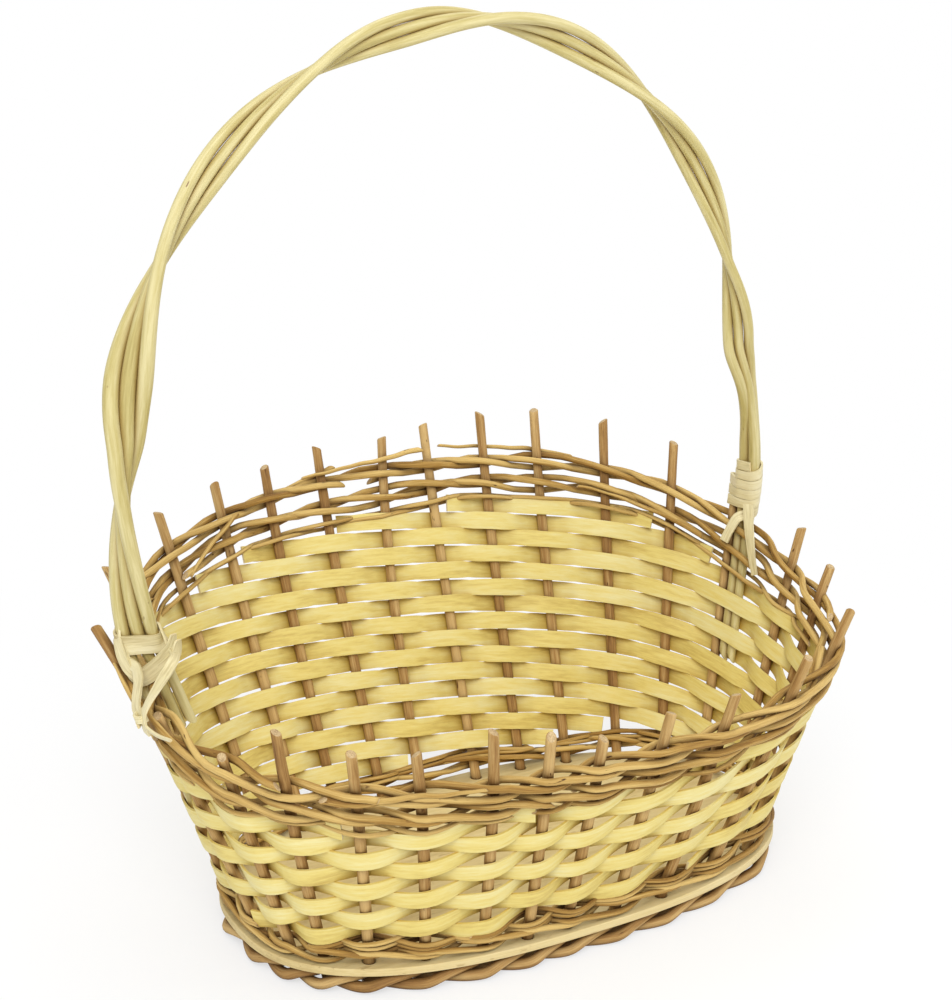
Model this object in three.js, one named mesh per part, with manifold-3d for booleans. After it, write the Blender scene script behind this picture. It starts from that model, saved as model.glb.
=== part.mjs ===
// Gift basket: a board base, round willow stakes, flat woven splints and a twisted rod handle.
// Millimetres, +Z up, the long side of the basket along X and the high back wall towards +Y.

import * as THREE from 'three';
import { mergeVertices } from 'three/addons/utils/BufferGeometryUtils.js';
import Module from 'manifold-3d';

// Clearance between two pieces that touch on the real basket
const SEAT_GAP = 0.3;

// Base board, a thin oval panel with one drilled hole for each stake
const BOARD_HALF_LENGTH = 147.5;
const BOARD_HALF_WIDTH = 84.5;
const BOARD_SQUARENESS = 2.55;
const BOARD_THICKNESS = 4;
const BOARD_CENTRE_X = -2.4;
const BOARD_CENTRE_Y = -26.2;
const BOARD_OUTLINE_STEPS = 54;
const HOLE_INSET = 7.2;
const HOLE_CLEARANCE = 1.4;
const HOLE_SIDES = 8;

// Line of the rim, the middle of the top border, seen from above
const RIM_HALF_LENGTH_RIGHT = 171.5;
const RIM_HALF_LENGTH_LEFT = 177;
const RIM_HALF_WIDTH = 122;
const RIM_SQUARENESS = 2.4;
const RIM_CENTRE_Y = -9.8;
const RIM_SKEW = -5;

// Height of the rim: low in front, swept up to the back
const RIM_HEIGHT = 127;
const RIM_RISE = 31.5;
const RIM_CUP = 11;
const RIM_TILT = 2.5;

// Stakes: the gaps between neighbours along the board and along the rim, from the left end
// along the back to the right end and back along the front, as the maker spaced them
const BOARD_GAPS = [25, 33, 28, 22, 28, 23, 34, 27, 27, 29, 25, 24, 30, 22, 44, 36, 31, 28, 27, 21, 23, 28, 26,
  21, 17, 21, 30];
const RIM_GAPS = [49, 43, 35, 29, 32, 33, 32, 32, 31, 38, 38, 39, 45, 27, 50, 56, 46, 36, 32, 25, 25, 32, 29,
  33, 28, 42, 36];
const STAKE_COUNT = BOARD_GAPS.length;
const FIRST_STAKE_ON_BOARD = 0.4785;
const FIRST_STAKE_ON_RIM = 0.482;
const STAKE_RADIUS = 2.7;
const STAKE_SIDES = 6;
const STAKE_STANDS_PROUD = 29;
const STAKE_CUT_SLOPE = 0.8;
const STAKE_BEND_RADIUS = 4;

// Foot border: each stake's tail runs out under the board past the next stake, drops to the
// ground beneath the following tail and tucks in. Steps are counted in stake gaps.
const TAIL_STEPS = [0.33, 0.62, 1, 1.33, 1.75, 2.2];
const TAIL_OUTWARD = [1.6, 4.4, 6.4, 2.2, -2.4, -5];
const TAIL_DROP = [0, 0.1, 0.83, 1, 1, 1];
const TAIL_GAP = 0.5;

// Flat splints, an odd number of them worked round together, so their rows slope. Rows sink most at
// the steepest stake and least opposite it; the sway is how much the slope varies between them.
const SPLINT_WIDTH = 8.5;
const SPLINT_THICKNESS = 1;
const SPLINT_PITCH = 8.65;
const SPLINT_CLEARANCE = 0.4;
const SPLINTS_TOGETHER = 11;
const ROW_SWAY = 0.51;
const STEEPEST_STAKE = 13.5;
const FIRST_ROW_ABOVE_BOARD = 19.5;
const BUNDLE_MARGIN = 1.5;

// Stake gaps: length of a splint's end past its last stake, how far past a stake a row must clear
// the rods below and above, and the least stakes a row crosses
const SPLINT_END = 0.42;
const FIT_REACH = 0.7;
const LEAST_STAKES = 3;

// Foot rods: one round of three-rod wale between the board and the first splints
const FOOT_ROD_RADIUS = 1.5;
const FOOT_ROD_START = [4, 13, 22];

// Top border: two rounds of three-rod wale
const BORDER_ROD_RADIUS = 1.8;
const BORDER_ROUNDS = 2;
const BORDER_ROD_START = [2, 11, 20, 6, 15, 24];

const WALE_RODS = 3;
const ROD_SIDES = 5;
const ROD_CLEARANCE = 0.35;

// Handle: a flat band of three peeled rods, twisted along its arch
const HANDLE_RODS = 3;
const HANDLE_SIDES = 6;
const HANDLE_RADIUS_LEFT = 3.4;
const HANDLE_RADIUS_RIGHT = 2.8;
const HANDLE_FOOT_RADIUS = 2.5;
const HANDLE_ROD_GAP = 0.5;
const HANDLE_HALF_SPAN = 167.4;
const HANDLE_CENTRE_X = -10.4;
const HANDLE_SPRING_HEIGHT = 248;
const HANDLE_HEIGHT = 425.7;
const HANDLE_ROUNDNESS = 1.9;
const HANDLE_TOP_Y = 6.8;
const HANDLE_LEG_BOW_LEFT = 4.2;
const HANDLE_LEG_BOW_RIGHT = 6;
const HANDLE_LEFT_STAKE = 0;
const HANDLE_RIGHT_STAKE = 12;
const HANDLE_SEAT_ABOVE_BORDER = 2;
const HANDLE_TAIL_BELOW_RIM = 64;

// Rods of the band that run down in the wall at each foot. At the left foot the band does not turn
// into line with the wall, and its other two rods run on down against the inside of the border.
const RODS_IN_WALL_RIGHT = 2;
const RODS_IN_WALL_LEFT = 1;
const LEFT_BAND_ABOVE_RIM = 21;
const LEFT_BAND_RADIUS = 2.9;
const LEFT_BAND_INWARD = 7.8;
const LEFT_BAND_ALONG = 6.4;
const INNER_TAIL_BELOW_RIM = 22;
const LEG_STEPS = 9;
const ARCH_STEPS = 26;
const GATHER_STEPS = 2;

// Twist of the band in half turns over the share s of its length from the right foot:
// start + rate * s + ease * s * s, counted from the way the band faces at no twist, in degrees
const TWIST_START = -0.7;
const TWIST_RATE = 8.35;
const TWIST_EASE = -1.1;
const TWIST_FACING = 209;

// Lashings of flat cane round the handle's feet
const CANE_WIDTH = 5;
const CANE_THICKNESS = 1.4;
const CANE_PITCH = 5.8;
const CANE_LOOP_STEPS = 24;
const CANE_SIDES = 6;
const CANE_TURNS_LEFT = 2.5;
const CANE_TURNS_RIGHT = 5;
const CANE_SEAT_GAP = 1.1;
const CANE_ROOM_AT_STAKE = 1.2;
const CANE_START_ABOVE_BORDER = 4;

// Legs of the lashings, each place as [along the wall from the foot stake, outward, above the rim,
// facing], where facing is in degrees from the way along the wall (0) to outward (90). The right
// one runs down inside the border, the left ones down outside it from over its top.
const CANE_RIGHT_LEG = [[-6, -8.3, -9, -90], [-3, -8.5, -3, -90], [0, -8.4, 3, -90], [3.5, -7.2, 8.5, -90]];
const CANE_LEFT_START = [[22, 8.6, -11, 90], [19, 8.8, -5, 90], [16, 8.6, 1, 90], [12.5, 7.6, 7, 90]];
const CANE_LEFT_END = [[24.5, -5, 25, -60], [27.2, 3, 18.5, 0], [26, 8.6, 11, 50], [21, 11.2, 3, 85],
  [16, 11.3, -4, 90], [11, 11, -11, 90]];

// Least clear space that a lashing must keep to itself, checked when it is built
const CANE_LEAST_GAP = 0.4;

const WILLOW_BROWN = 0x8f6b3f;
const WILLOW_BUFF = 0xa9854f;
const SPLINT_YELLOW = 0xdccb86;
const BOARD_PALE = 0xd9c392;
const PEELED_STRAW = 0xd8c68a;
const CANE_CREAM = 0xe0d5a8;

// Heights that follow from the sizes above
const HEX_FLAT = STAKE_RADIUS * Math.cos(Math.PI / STAKE_SIDES);
const TAIL_LOW = HEX_FLAT;
const TAIL_HIGH = TAIL_LOW + 2 * HEX_FLAT + TAIL_GAP;
const BOARD_BOTTOM = TAIL_HIGH + HEX_FLAT + SEAT_GAP;
const BOARD_TOP = BOARD_BOTTOM + BOARD_THICKNESS;
const FOOT_LIFT = 2 * FOOT_ROD_RADIUS + ROD_CLEARANCE + SEAT_GAP;
const FOOT_CENTRE = BOARD_TOP + SEAT_GAP + FOOT_ROD_RADIUS + FOOT_LIFT / 2;
const BORDER_LIFT = 2 * BORDER_ROD_RADIUS + ROD_CLEARANCE + SEAT_GAP;
const BORDER_ROUND_HEIGHT = BORDER_LIFT + 2 * BORDER_ROD_RADIUS + ROD_CLEARANCE;
const BORDER_HALF_HEIGHT = BORDER_ROUNDS * BORDER_ROUND_HEIGHT / 2;

// Sides of the weave: how far a piece's centre line stands off the line of the stakes
const SPLINT_OFFSET = STAKE_RADIUS + SPLINT_THICKNESS / 2 + SPLINT_CLEARANCE;
const FOOT_OFFSET = STAKE_RADIUS + FOOT_ROD_RADIUS + ROD_CLEARANCE;
const BORDER_OFFSET = STAKE_RADIUS + BORDER_ROD_RADIUS + ROD_CLEARANCE;

const LOOP_SAMPLES = 720;
const FULL_TURN = 2 * Math.PI;

function vec(x, y, z) {
  return new THREE.Vector3(x, y, z);
}

function mix(a, b, t) {
  return a + (b - a) * t;
}

function signedPower(value, exponent) {
  return Math.sign(value) * Math.abs(value) ** exponent;
}

// Point of an oval with squared shoulders, where each half can have its own length
function ovalPoint(angle, halfLengthRight, halfLengthLeft, halfWidth, squareness) {
  const along = signedPower(Math.cos(angle), 2 / squareness);
  const across = signedPower(Math.sin(angle), 2 / squareness);
  const halfLength = along > 0 ? halfLengthRight : halfLengthLeft;
  return { x: halfLength * along, y: halfWidth * across, along, across };
}

// Line of the holes on the board
function boardLine(angle) {
  const halfLength = BOARD_HALF_LENGTH - HOLE_INSET;
  const p = ovalPoint(angle, halfLength, halfLength, BOARD_HALF_WIDTH - HOLE_INSET, BOARD_SQUARENESS);
  return vec(p.x + BOARD_CENTRE_X, p.y + BOARD_CENTRE_Y, BOARD_TOP);
}

// Line of the rim with its height
function rimLine(angle) {
  const p = ovalPoint(angle, RIM_HALF_LENGTH_RIGHT, RIM_HALF_LENGTH_LEFT, RIM_HALF_WIDTH, RIM_SQUARENESS);
  const height = RIM_HEIGHT + RIM_RISE * p.across + RIM_CUP * p.across ** 2 + RIM_TILT * p.along;
  return vec(p.x, p.y + RIM_CENTRE_Y + RIM_SKEW * p.along, height);
}

// A closed line sampled by length, so that a place on it can be asked for as a share of its length
function measuredLoop(line) {
  const lengths = [0];
  let last = line(0);
  for (let i = 1; i <= LOOP_SAMPLES; i++) {
    const next = line(FULL_TURN * i / LOOP_SAMPLES);
    lengths.push(lengths[i - 1] + Math.hypot(next.x - last.x, next.y - last.y));
    last = next;
  }
  const total = lengths[LOOP_SAMPLES];
  function at(share) {
    const wanted = (share - Math.floor(share)) * total;
    let i = 0;
    while (i < LOOP_SAMPLES - 1 && lengths[i + 1] < wanted) {
      i++;
    }
    const part = (wanted - lengths[i]) / (lengths[i + 1] - lengths[i]);
    return line(FULL_TURN * (i + part) / LOOP_SAMPLES);
  }
  return { at, total };
}

const boardLoop = measuredLoop(boardLine);
const rimLoop = measuredLoop(rimLine);

// Share of a loop at a stake number, which may lie between two stakes and may run on round after round
function shareAt(stake, gaps, first) {
  const total = gaps.reduce((sum, gap) => sum + gap, 0);
  const round = Math.floor(stake / STAKE_COUNT);
  let rest = stake - round * STAKE_COUNT;
  let passed = 0;
  let i = 0;
  while (rest >= 1) {
    passed += gaps[i];
    rest -= 1;
    i++;
  }
  passed += gaps[i % STAKE_COUNT] * rest;
  return first - passed / total - round;
}

function footOfWall(stake) {
  return boardLoop.at(shareAt(stake, BOARD_GAPS, FIRST_STAKE_ON_BOARD));
}

function rimOfWall(stake) {
  return rimLoop.at(shareAt(stake, RIM_GAPS, FIRST_STAKE_ON_RIM));
}

// The wall is ruled between the board and the rim, along the stakes
function wallPoint(stake, height) {
  const foot = footOfWall(stake);
  const rim = rimOfWall(stake);
  const part = (height - foot.z) / (rim.z - foot.z);
  return foot.lerp(rim, part);
}

// Directions at a place on the wall: up along the stake, onward along the row, outward
function wallFrame(stake, height) {
  const step = 0.25;
  const point = wallPoint(stake, height);
  const up = rimOfWall(stake).sub(footOfWall(stake)).normalize();
  const onward = wallPoint(stake + step, height).sub(wallPoint(stake - step, height));
  const outward = up.clone().cross(onward).normalize();
  return { point, up, outward, onward: outward.clone().cross(up) };
}

// Length of wall between two stakes at a height
function gapAt(stake, height) {
  return wallPoint(stake, height).distanceTo(wallPoint(stake + 1, height));
}

// A closed body through rings of points, with flat ends
function loft(rings) {
  const size = rings[0].length;
  const positions = [];
  const push = (...points) => points.forEach((p) => positions.push(p.x, p.y, p.z));
  for (let i = 0; i + 1 < rings.length; i++) {
    for (let j = 0; j < size; j++) {
      const k = (j + 1) % size;
      push(rings[i][j], rings[i][k], rings[i + 1][k]);
      push(rings[i][j], rings[i + 1][k], rings[i + 1][j]);
    }
  }
  const last = rings[rings.length - 1];
  for (let j = 1; j + 1 < size; j++) {
    push(rings[0][0], rings[0][j + 1], rings[0][j]);
    push(last[0], last[j], last[j + 1]);
  }
  const geometry = new THREE.BufferGeometry();
  geometry.setAttribute('position', new THREE.Float32BufferAttribute(positions, 3));
  geometry.computeVertexNormals();
  return geometry;
}

// Ring of a round section; side is the direction of its first corner, axis the way the rod runs
function roundRing(centre, axis, side, radius, sides, flatness = 1) {
  const across = side.clone().addScaledVector(axis, -side.dot(axis)).normalize();
  const lift = axis.clone().cross(across);
  const ring = [];
  for (let j = 0; j < sides; j++) {
    const turn = FULL_TURN * j / sides;
    const point = centre.clone().addScaledVector(across, radius * flatness * Math.cos(turn));
    ring.push(point.addScaledVector(lift, radius * Math.sin(turn)));
  }
  return ring;
}

// Unit direction of a path at one of its points
function pathAxis(points, i) {
  const before = points[Math.max(i - 1, 0)];
  const after = points[Math.min(i + 1, points.length - 1)];
  const here = points[i];
  const inDirection = here.clone().sub(before).normalize();
  const outDirection = after.clone().sub(here).normalize();
  return inDirection.add(outDirection).normalize();
}

// Round rod along a path; sideAt and radiusAt give its side direction and radius at each point
function rod(points, sideAt, radiusAt, sides) {
  return loft(points.map((p, i) => roundRing(p, pathAxis(points, i), sideAt(i), radiusAt(i), sides)));
}

function mesh(name, geometry, colour, roughness) {
  const material = new THREE.MeshStandardMaterial({ color: colour, roughness, metalness: 0 });
  const result = new THREE.Mesh(geometry, material);
  result.name = name;
  return result;
}

function numbered(name, number) {
  return `${name}_${String(number).padStart(2, '0')}`;
}

// Solid for joining and cutting, from a closed geometry
function toSolid(wasm, geometry) {
  const plain = geometry.index ? geometry.toNonIndexed() : geometry;
  const bare = new THREE.BufferGeometry();
  bare.setAttribute('position', plain.getAttribute('position'));
  const merged = mergeVertices(bare, 1e-4);
  return new wasm.Manifold(new wasm.Mesh({
    numProp: 3,
    vertProperties: new Float32Array(merged.getAttribute('position').array),
    triVerts: new Uint32Array(merged.index.array),
  }));
}

function fromSolid(solid) {
  const data = solid.getMesh();
  const geometry = new THREE.BufferGeometry();
  geometry.setAttribute('position', new THREE.BufferAttribute(new Float32Array(data.vertProperties), 3));
  geometry.setIndex(new THREE.BufferAttribute(new Uint32Array(data.triVerts), 1));
  return geometry;
}

// Base board with its ring of stake holes
function boardGeometry(wasm) {
  const outline = new THREE.Shape();
  for (let i = 0; i < BOARD_OUTLINE_STEPS; i++) {
    const angle = FULL_TURN * i / BOARD_OUTLINE_STEPS;
    const p = ovalPoint(angle, BOARD_HALF_LENGTH, BOARD_HALF_LENGTH, BOARD_HALF_WIDTH, BOARD_SQUARENESS);
    if (i === 0) {
      outline.moveTo(p.x + BOARD_CENTRE_X, p.y + BOARD_CENTRE_Y);
    } else {
      outline.lineTo(p.x + BOARD_CENTRE_X, p.y + BOARD_CENTRE_Y);
    }
  }
  const panel = new THREE.ExtrudeGeometry(outline, { depth: BOARD_THICKNESS, bevelEnabled: false });
  panel.translate(0, 0, BOARD_BOTTOM);
  let solid = toSolid(wasm, panel);
  for (let k = 0; k < STAKE_COUNT; k++) {
    const foot = footOfWall(k);
    const radius = STAKE_RADIUS + HOLE_CLEARANCE;
    const drill = new THREE.CylinderGeometry(radius, radius, BOARD_THICKNESS * 3, HOLE_SIDES);
    drill.rotateX(Math.PI / 2);
    drill.translate(foot.x, foot.y, BOARD_BOTTOM + BOARD_THICKNESS / 2);
    solid = solid.subtract(toSolid(wasm, drill));
  }
  return fromSolid(solid);
}

// Place under the board at a stake number, moved outward across the line of the holes
function footPoint(stake, outward, height) {
  const frame = wallFrame(stake, BOARD_TOP);
  const side = vec(frame.outward.x, frame.outward.y, 0).normalize();
  const point = frame.point.clone().addScaledVector(side, outward);
  point.z = height;
  return point;
}

// Stake: cut tip, straight wall length, leg through the board, bend and tail in the foot border
function stakeGeometry(stake) {
  const frame = wallFrame(stake, BOARD_TOP);
  const rim = rimOfWall(stake);
  const tip = rim.clone().addScaledVector(frame.up, STAKE_STANDS_PROUD);
  const side = vec(frame.outward.x, frame.outward.y, 0).normalize();
  const firstTail = footPoint(stake + TAIL_STEPS[0], TAIL_OUTWARD[0], TAIL_HIGH);
  const tailWay = firstTail.clone().sub(vec(frame.point.x, frame.point.y, TAIL_HIGH)).normalize();
  const points = [tip, frame.point.clone()];
  const bendSteps = 2;
  for (let i = 0; i <= bendSteps; i++) {
    const turn = (Math.PI / 2) * i / bendSteps;
    const point = vec(frame.point.x, frame.point.y, TAIL_HIGH + STAKE_BEND_RADIUS);
    point.addScaledVector(tailWay, STAKE_BEND_RADIUS * (1 - Math.cos(turn)));
    point.z -= STAKE_BEND_RADIUS * Math.sin(turn);
    points.push(point);
  }
  TAIL_STEPS.forEach((step, i) => {
    const height = mix(TAIL_HIGH, TAIL_LOW, TAIL_DROP[i]);
    points.push(footPoint(stake + step, TAIL_OUTWARD[i], height));
  });
  const straightRings = 2 + bendSteps + 1;
  const sideAt = (i) => {
    if (i < straightRings) {
      return side;
    }
    const axis = pathAxis(points, i);
    return vec(0, 0, 1).cross(axis).negate();
  };
  const rings = points.map((p, i) => {
    return roundRing(p, pathAxis(points, i), sideAt(i), STAKE_RADIUS, STAKE_SIDES);
  });
  const cut = STAKE_RADIUS * STAKE_CUT_SLOPE;
  rings[0].forEach((point, j) => {
    point.addScaledVector(frame.up, -cut * Math.cos(FULL_TURN * j / STAKE_SIDES));
  });
  return loft(rings);
}

// Handle rods stand beside a stake at each foot, towards the front of the basket, so the weave
// treats the stake and the rods in the wall as one thick bundle down to where the rods end
function bundleWidth(rodsInWall) {
  return rodsInWall * (2 * HANDLE_FOOT_RADIUS + SEAT_GAP) + STAKE_RADIUS + BUNDLE_MARGIN;
}

function tailEndHeight(stake) {
  return rimOfWall(stake).z - HANDLE_TAIL_BELOW_RIM;
}

// Span of stake numbers that the weave passes on one side at a stake
function bundleSpan(stake, height) {
  const local = ((stake % STAKE_COUNT) + STAKE_COUNT) % STAKE_COUNT;
  const inside = height > tailEndHeight(local) - SPLINT_PITCH;
  if (local === HANDLE_RIGHT_STAKE && inside) {
    return { before: 0, after: bundleWidth(RODS_IN_WALL_RIGHT) / gapAt(stake, height) };
  }
  if (local === HANDLE_LEFT_STAKE && inside) {
    return { before: bundleWidth(RODS_IN_WALL_LEFT) / gapAt(stake - 1, height), after: 0 };
  }
  return { before: 0, after: 0 };
}

// Places of a row from one stake number to another: one place at each stake, or two where
// it passes a bundle, and some between. Each entry has the stake number and the phase, which
// counts stakes passed.
function weavePlaces(first, last, heightAt, between) {
  const places = [];
  for (let k = Math.floor(first) - 1; k <= Math.ceil(last) + 1; k++) {
    const height = heightAt(k);
    const here = bundleSpan(k, height);
    const next = bundleSpan(k + 1, height);
    if (here.before > 0) {
      places.push({ stake: k - here.before, phase: k });
    }
    places.push({ stake: k, phase: k });
    if (here.after > 0) {
      places.push({ stake: k + here.after, phase: k });
    }
    for (let i = 1; i <= between; i++) {
      const part = i / (between + 1);
      places.push({ stake: mix(k + here.after, k + 1 - next.before, part), phase: k + part });
    }
  }
  return places.filter((place) => place.phase >= first && place.phase <= last);
}

// Middle height of the foot rods: the wall leans out, which brings a rod that passes outside a
// stake down towards the board
function footMiddle(stake) {
  return FOOT_CENTRE - FOOT_OFFSET * wallFrame(stake, BOARD_TOP).outward.z;
}

// Height of a row's middle at a stake number that runs on round after round. In one round a splint
// sinks by as many rows as are worked together, so it comes back beneath the lowest of them.
function rowHeight(row, stake) {
  const sway = Math.sin(FULL_TURN * (stake - STEEPEST_STAKE) / STAKE_COUNT);
  const swayAtStart = Math.sin(-FULL_TURN * STEEPEST_STAKE / STAKE_COUNT);
  const rounds = stake / STAKE_COUNT + ROW_SWAY * (sway - swayAtStart) / FULL_TURN;
  return BOARD_TOP + FIRST_ROW_ABOVE_BOARD + SPLINT_PITCH * (row - SPLINTS_TOGETHER * rounds);
}

// Whether a row clears the foot rods and the border all along one stake's stretch
function rowFits(row, stake) {
  return [-FIT_REACH, 0, FIT_REACH].every((reach) => {
    const height = rowHeight(row, stake + reach);
    const half = SPLINT_WIDTH / 2 + SEAT_GAP;
    const floor = footMiddle(stake + reach) + FOOT_LIFT / 2 + FOOT_ROD_RADIUS;
    const ceiling = rimOfWall(stake + reach).z - BORDER_HALF_HEIGHT;
    return height - half > floor && height + half < ceiling;
  });
}

// Runs of stakes that the splints cover between the foot rods and the border. Where the low front
// border cuts a row off, it goes on behind as a short row of its own.
function splintRuns() {
  const runs = [];
  const highest = RIM_HEIGHT + RIM_RISE + RIM_CUP;
  const rounds = Math.ceil(highest / (SPLINT_PITCH * SPLINTS_TOGETHER)) + 1;
  for (let row = 0; row < SPLINTS_TOGETHER; row++) {
    let start = null;
    for (let k = -rounds * STAKE_COUNT; k <= rounds * STAKE_COUNT; k++) {
      const fits = rowFits(row, k);
      if (fits && start === null) {
        start = k;
      }
      if (!fits && start !== null) {
        runs.push({ row, first: start, last: k - 1 });
        start = null;
      }
    }
  }
  return runs.filter((run) => run.last - run.first >= LEAST_STAKES - 1);
}

// Flat splint that passes the stakes on alternate sides
function splintGeometry(run) {
  const heightAt = (stake) => rowHeight(run.row, stake);
  const swingAt = (phase) => Math.cos(Math.PI * (phase + run.row));
  const places = weavePlaces(run.first - 0.5, run.last + 0.5, heightAt, 1);
  const rings = places.map((place, i) => {
    let stake = place.stake;
    let swing = swingAt(place.phase);
    if (i === 0 || i === places.length - 1) {
      const inner = i === 0 ? places[1] : places[i - 1];
      stake = mix(inner.stake, place.stake, SPLINT_END * 2);
      swing = mix(swingAt(inner.phase), swing, SPLINT_END * 2);
    }
    const frame = wallFrame(stake, heightAt(stake));
    const centre = frame.point.addScaledVector(frame.outward, SPLINT_OFFSET * swing);
    const half = SPLINT_WIDTH / 2;
    const thick = SPLINT_THICKNESS / 2;
    return [[-half, -thick], [-half, thick], [half, thick], [half, -thick]].map(([rise, out]) => {
      return centre.clone().addScaledVector(frame.up, rise).addScaledVector(frame.outward, out);
    });
  });
  return loft(rings);
}

// Round rod woven along the wall; swing and lift give its side and height for a phase
function wovenRod(first, last, middleHeight, swing, lift, offset, radius) {
  const places = weavePlaces(first, last, middleHeight, 1);
  const frames = places.map((place) => {
    const height = middleHeight(place.stake) + lift(place.phase);
    return wallFrame(place.stake, height);
  });
  const points = frames.map((frame, i) => {
    return frame.point.clone().addScaledVector(frame.outward, offset * swing(places[i].phase));
  });
  return rod(points, (i) => frames[i].up, () => radius, ROD_SIDES);
}

// Three-rod wale: outside two stakes, inside the third, low on the way out and high on the way in
function waleSwing(phase) {
  const turn = ((phase % WALE_RODS) + WALE_RODS) % WALE_RODS;
  const swings = [1, 1, 1, 0, -1, 0, 1];
  return swings[Math.round(turn * 2)];
}

function waleLift(phase) {
  const turn = ((phase % WALE_RODS) + WALE_RODS) % WALE_RODS;
  const lifts = [-1, 0, 1, 1, 0, -1, -1];
  return lifts[Math.round(turn * 2)];
}

function waleGeometry(start, number, middle, lift, offset, radius) {
  return wovenRod(start, start + STAKE_COUNT - 0.5, middle, (phase) => waleSwing(phase - number),
    (phase) => waleLift(phase - number) * lift / 2, offset, radius);
}

function footRodGeometry(number) {
  return waleGeometry(FOOT_ROD_START[number], number, footMiddle, FOOT_LIFT, FOOT_OFFSET,
    FOOT_ROD_RADIUS);
}

function borderGeometry(round, number) {
  const middle = (stake) => {
    return rimOfWall(stake).z - BORDER_HALF_HEIGHT + BORDER_ROUND_HEIGHT * (round + 0.5);
  };
  const start = BORDER_ROD_START[round * WALE_RODS + number];
  return waleGeometry(start, number, middle, BORDER_LIFT, BORDER_OFFSET, BORDER_ROD_RADIUS);
}

// Middle line of the handle's arch for a turn from 0 at the right spring to pi at the left
function archPoint(turn) {
  const p = ovalPoint(turn, 1, 1, 1, HANDLE_ROUNDNESS);
  const height = mix(HANDLE_SPRING_HEIGHT, HANDLE_HEIGHT, p.y);
  return vec(HANDLE_CENTRE_X + HANDLE_HALF_SPAN * p.x, HANDLE_TOP_Y, height);
}

// Foot of the handle at one end: its stake, the way from the stake to the rods, how many rods run
// down in the wall, the heights of the rim and of the rods' seat on the border
function handleFoot(side) {
  const stake = side > 0 ? HANDLE_RIGHT_STAKE : HANDLE_LEFT_STAKE;
  const rim = rimOfWall(stake).z;
  const rodsInWall = side > 0 ? RODS_IN_WALL_RIGHT : RODS_IN_WALL_LEFT;
  return { stake, side, rim, rodsInWall, seatTop: rim + BORDER_HALF_HEIGHT + HANDLE_SEAT_ABOVE_BORDER };
}

// Directions and place on the wall at a distance along it from a foot's stake
function frameBeside(foot, along, height) {
  const gap = along > 0 ? gapAt(foot.stake, height) : gapAt(foot.stake - 1, height);
  return wallFrame(foot.stake + along / gap, height);
}

function besideStake(foot, along, outward, height) {
  const frame = frameBeside(foot, along, height);
  return frame.point.addScaledVector(frame.outward, outward);
}

// Distance from the stake to the middle of the rod in a seat, counted from the stake
function seatDistance(seat, radius) {
  return STAKE_RADIUS + SEAT_GAP + radius + seat * (2 * radius + SEAT_GAP);
}

// The band has turned over at the left foot, so its rods are seated there in reverse order
function seatOf(foot, slot) {
  return foot.side > 0 ? slot : HANDLE_RODS - 1 - slot;
}

// Middle line of the whole handle, from the right foot over the arch to the left foot
function handleLine() {
  const leg = (side, spring, bow) => {
    const foot = handleFoot(side);
    const start = side > 0
      ? besideStake(foot, seatDistance(1, HANDLE_FOOT_RADIUS), 0, foot.seatTop)
      : besideStake(foot, -LEFT_BAND_ALONG, -LEFT_BAND_INWARD, foot.rim + LEFT_BAND_ABOVE_RIM);
    const result = [];
    for (let i = 0; i < LEG_STEPS; i++) {
      const part = i / LEG_STEPS;
      const point = start.clone().lerp(spring, part);
      point.x += side * bow * 4 * part * (1 - part);
      result.push(point);
    }
    return result;
  };
  const points = leg(1, archPoint(0), HANDLE_LEG_BOW_RIGHT);
  for (let i = 0; i <= ARCH_STEPS; i++) {
    points.push(archPoint(Math.PI * i / ARCH_STEPS));
  }
  points.push(...leg(-1, archPoint(Math.PI), HANDLE_LEG_BOW_LEFT).reverse());
  return points;
}

// Share of the handle's length passed at each point
function sharesAlong(points) {
  const lengths = [0];
  for (let i = 1; i < points.length; i++) {
    lengths.push(lengths[i - 1] + points[i].distanceTo(points[i - 1]));
  }
  return lengths.map((length) => length / lengths[lengths.length - 1]);
}

// Place of one rod of the band: centre of the band, its two directions, turn and rod size
function bandPlace(slot, centre, across, inward, turn, radius, gap) {
  const spread = (1 - slot) * (2 * radius + gap);
  const point = centre.clone().addScaledVector(across, spread * Math.cos(turn));
  point.addScaledVector(inward, spread * Math.sin(turn));
  return { point, radius, side: across };
}

function bandTurn(share) {
  const halfTurns = TWIST_START + TWIST_RATE * share + TWIST_EASE * share * share;
  return THREE.MathUtils.degToRad(TWIST_FACING - 180 * halfTurns);
}

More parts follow.
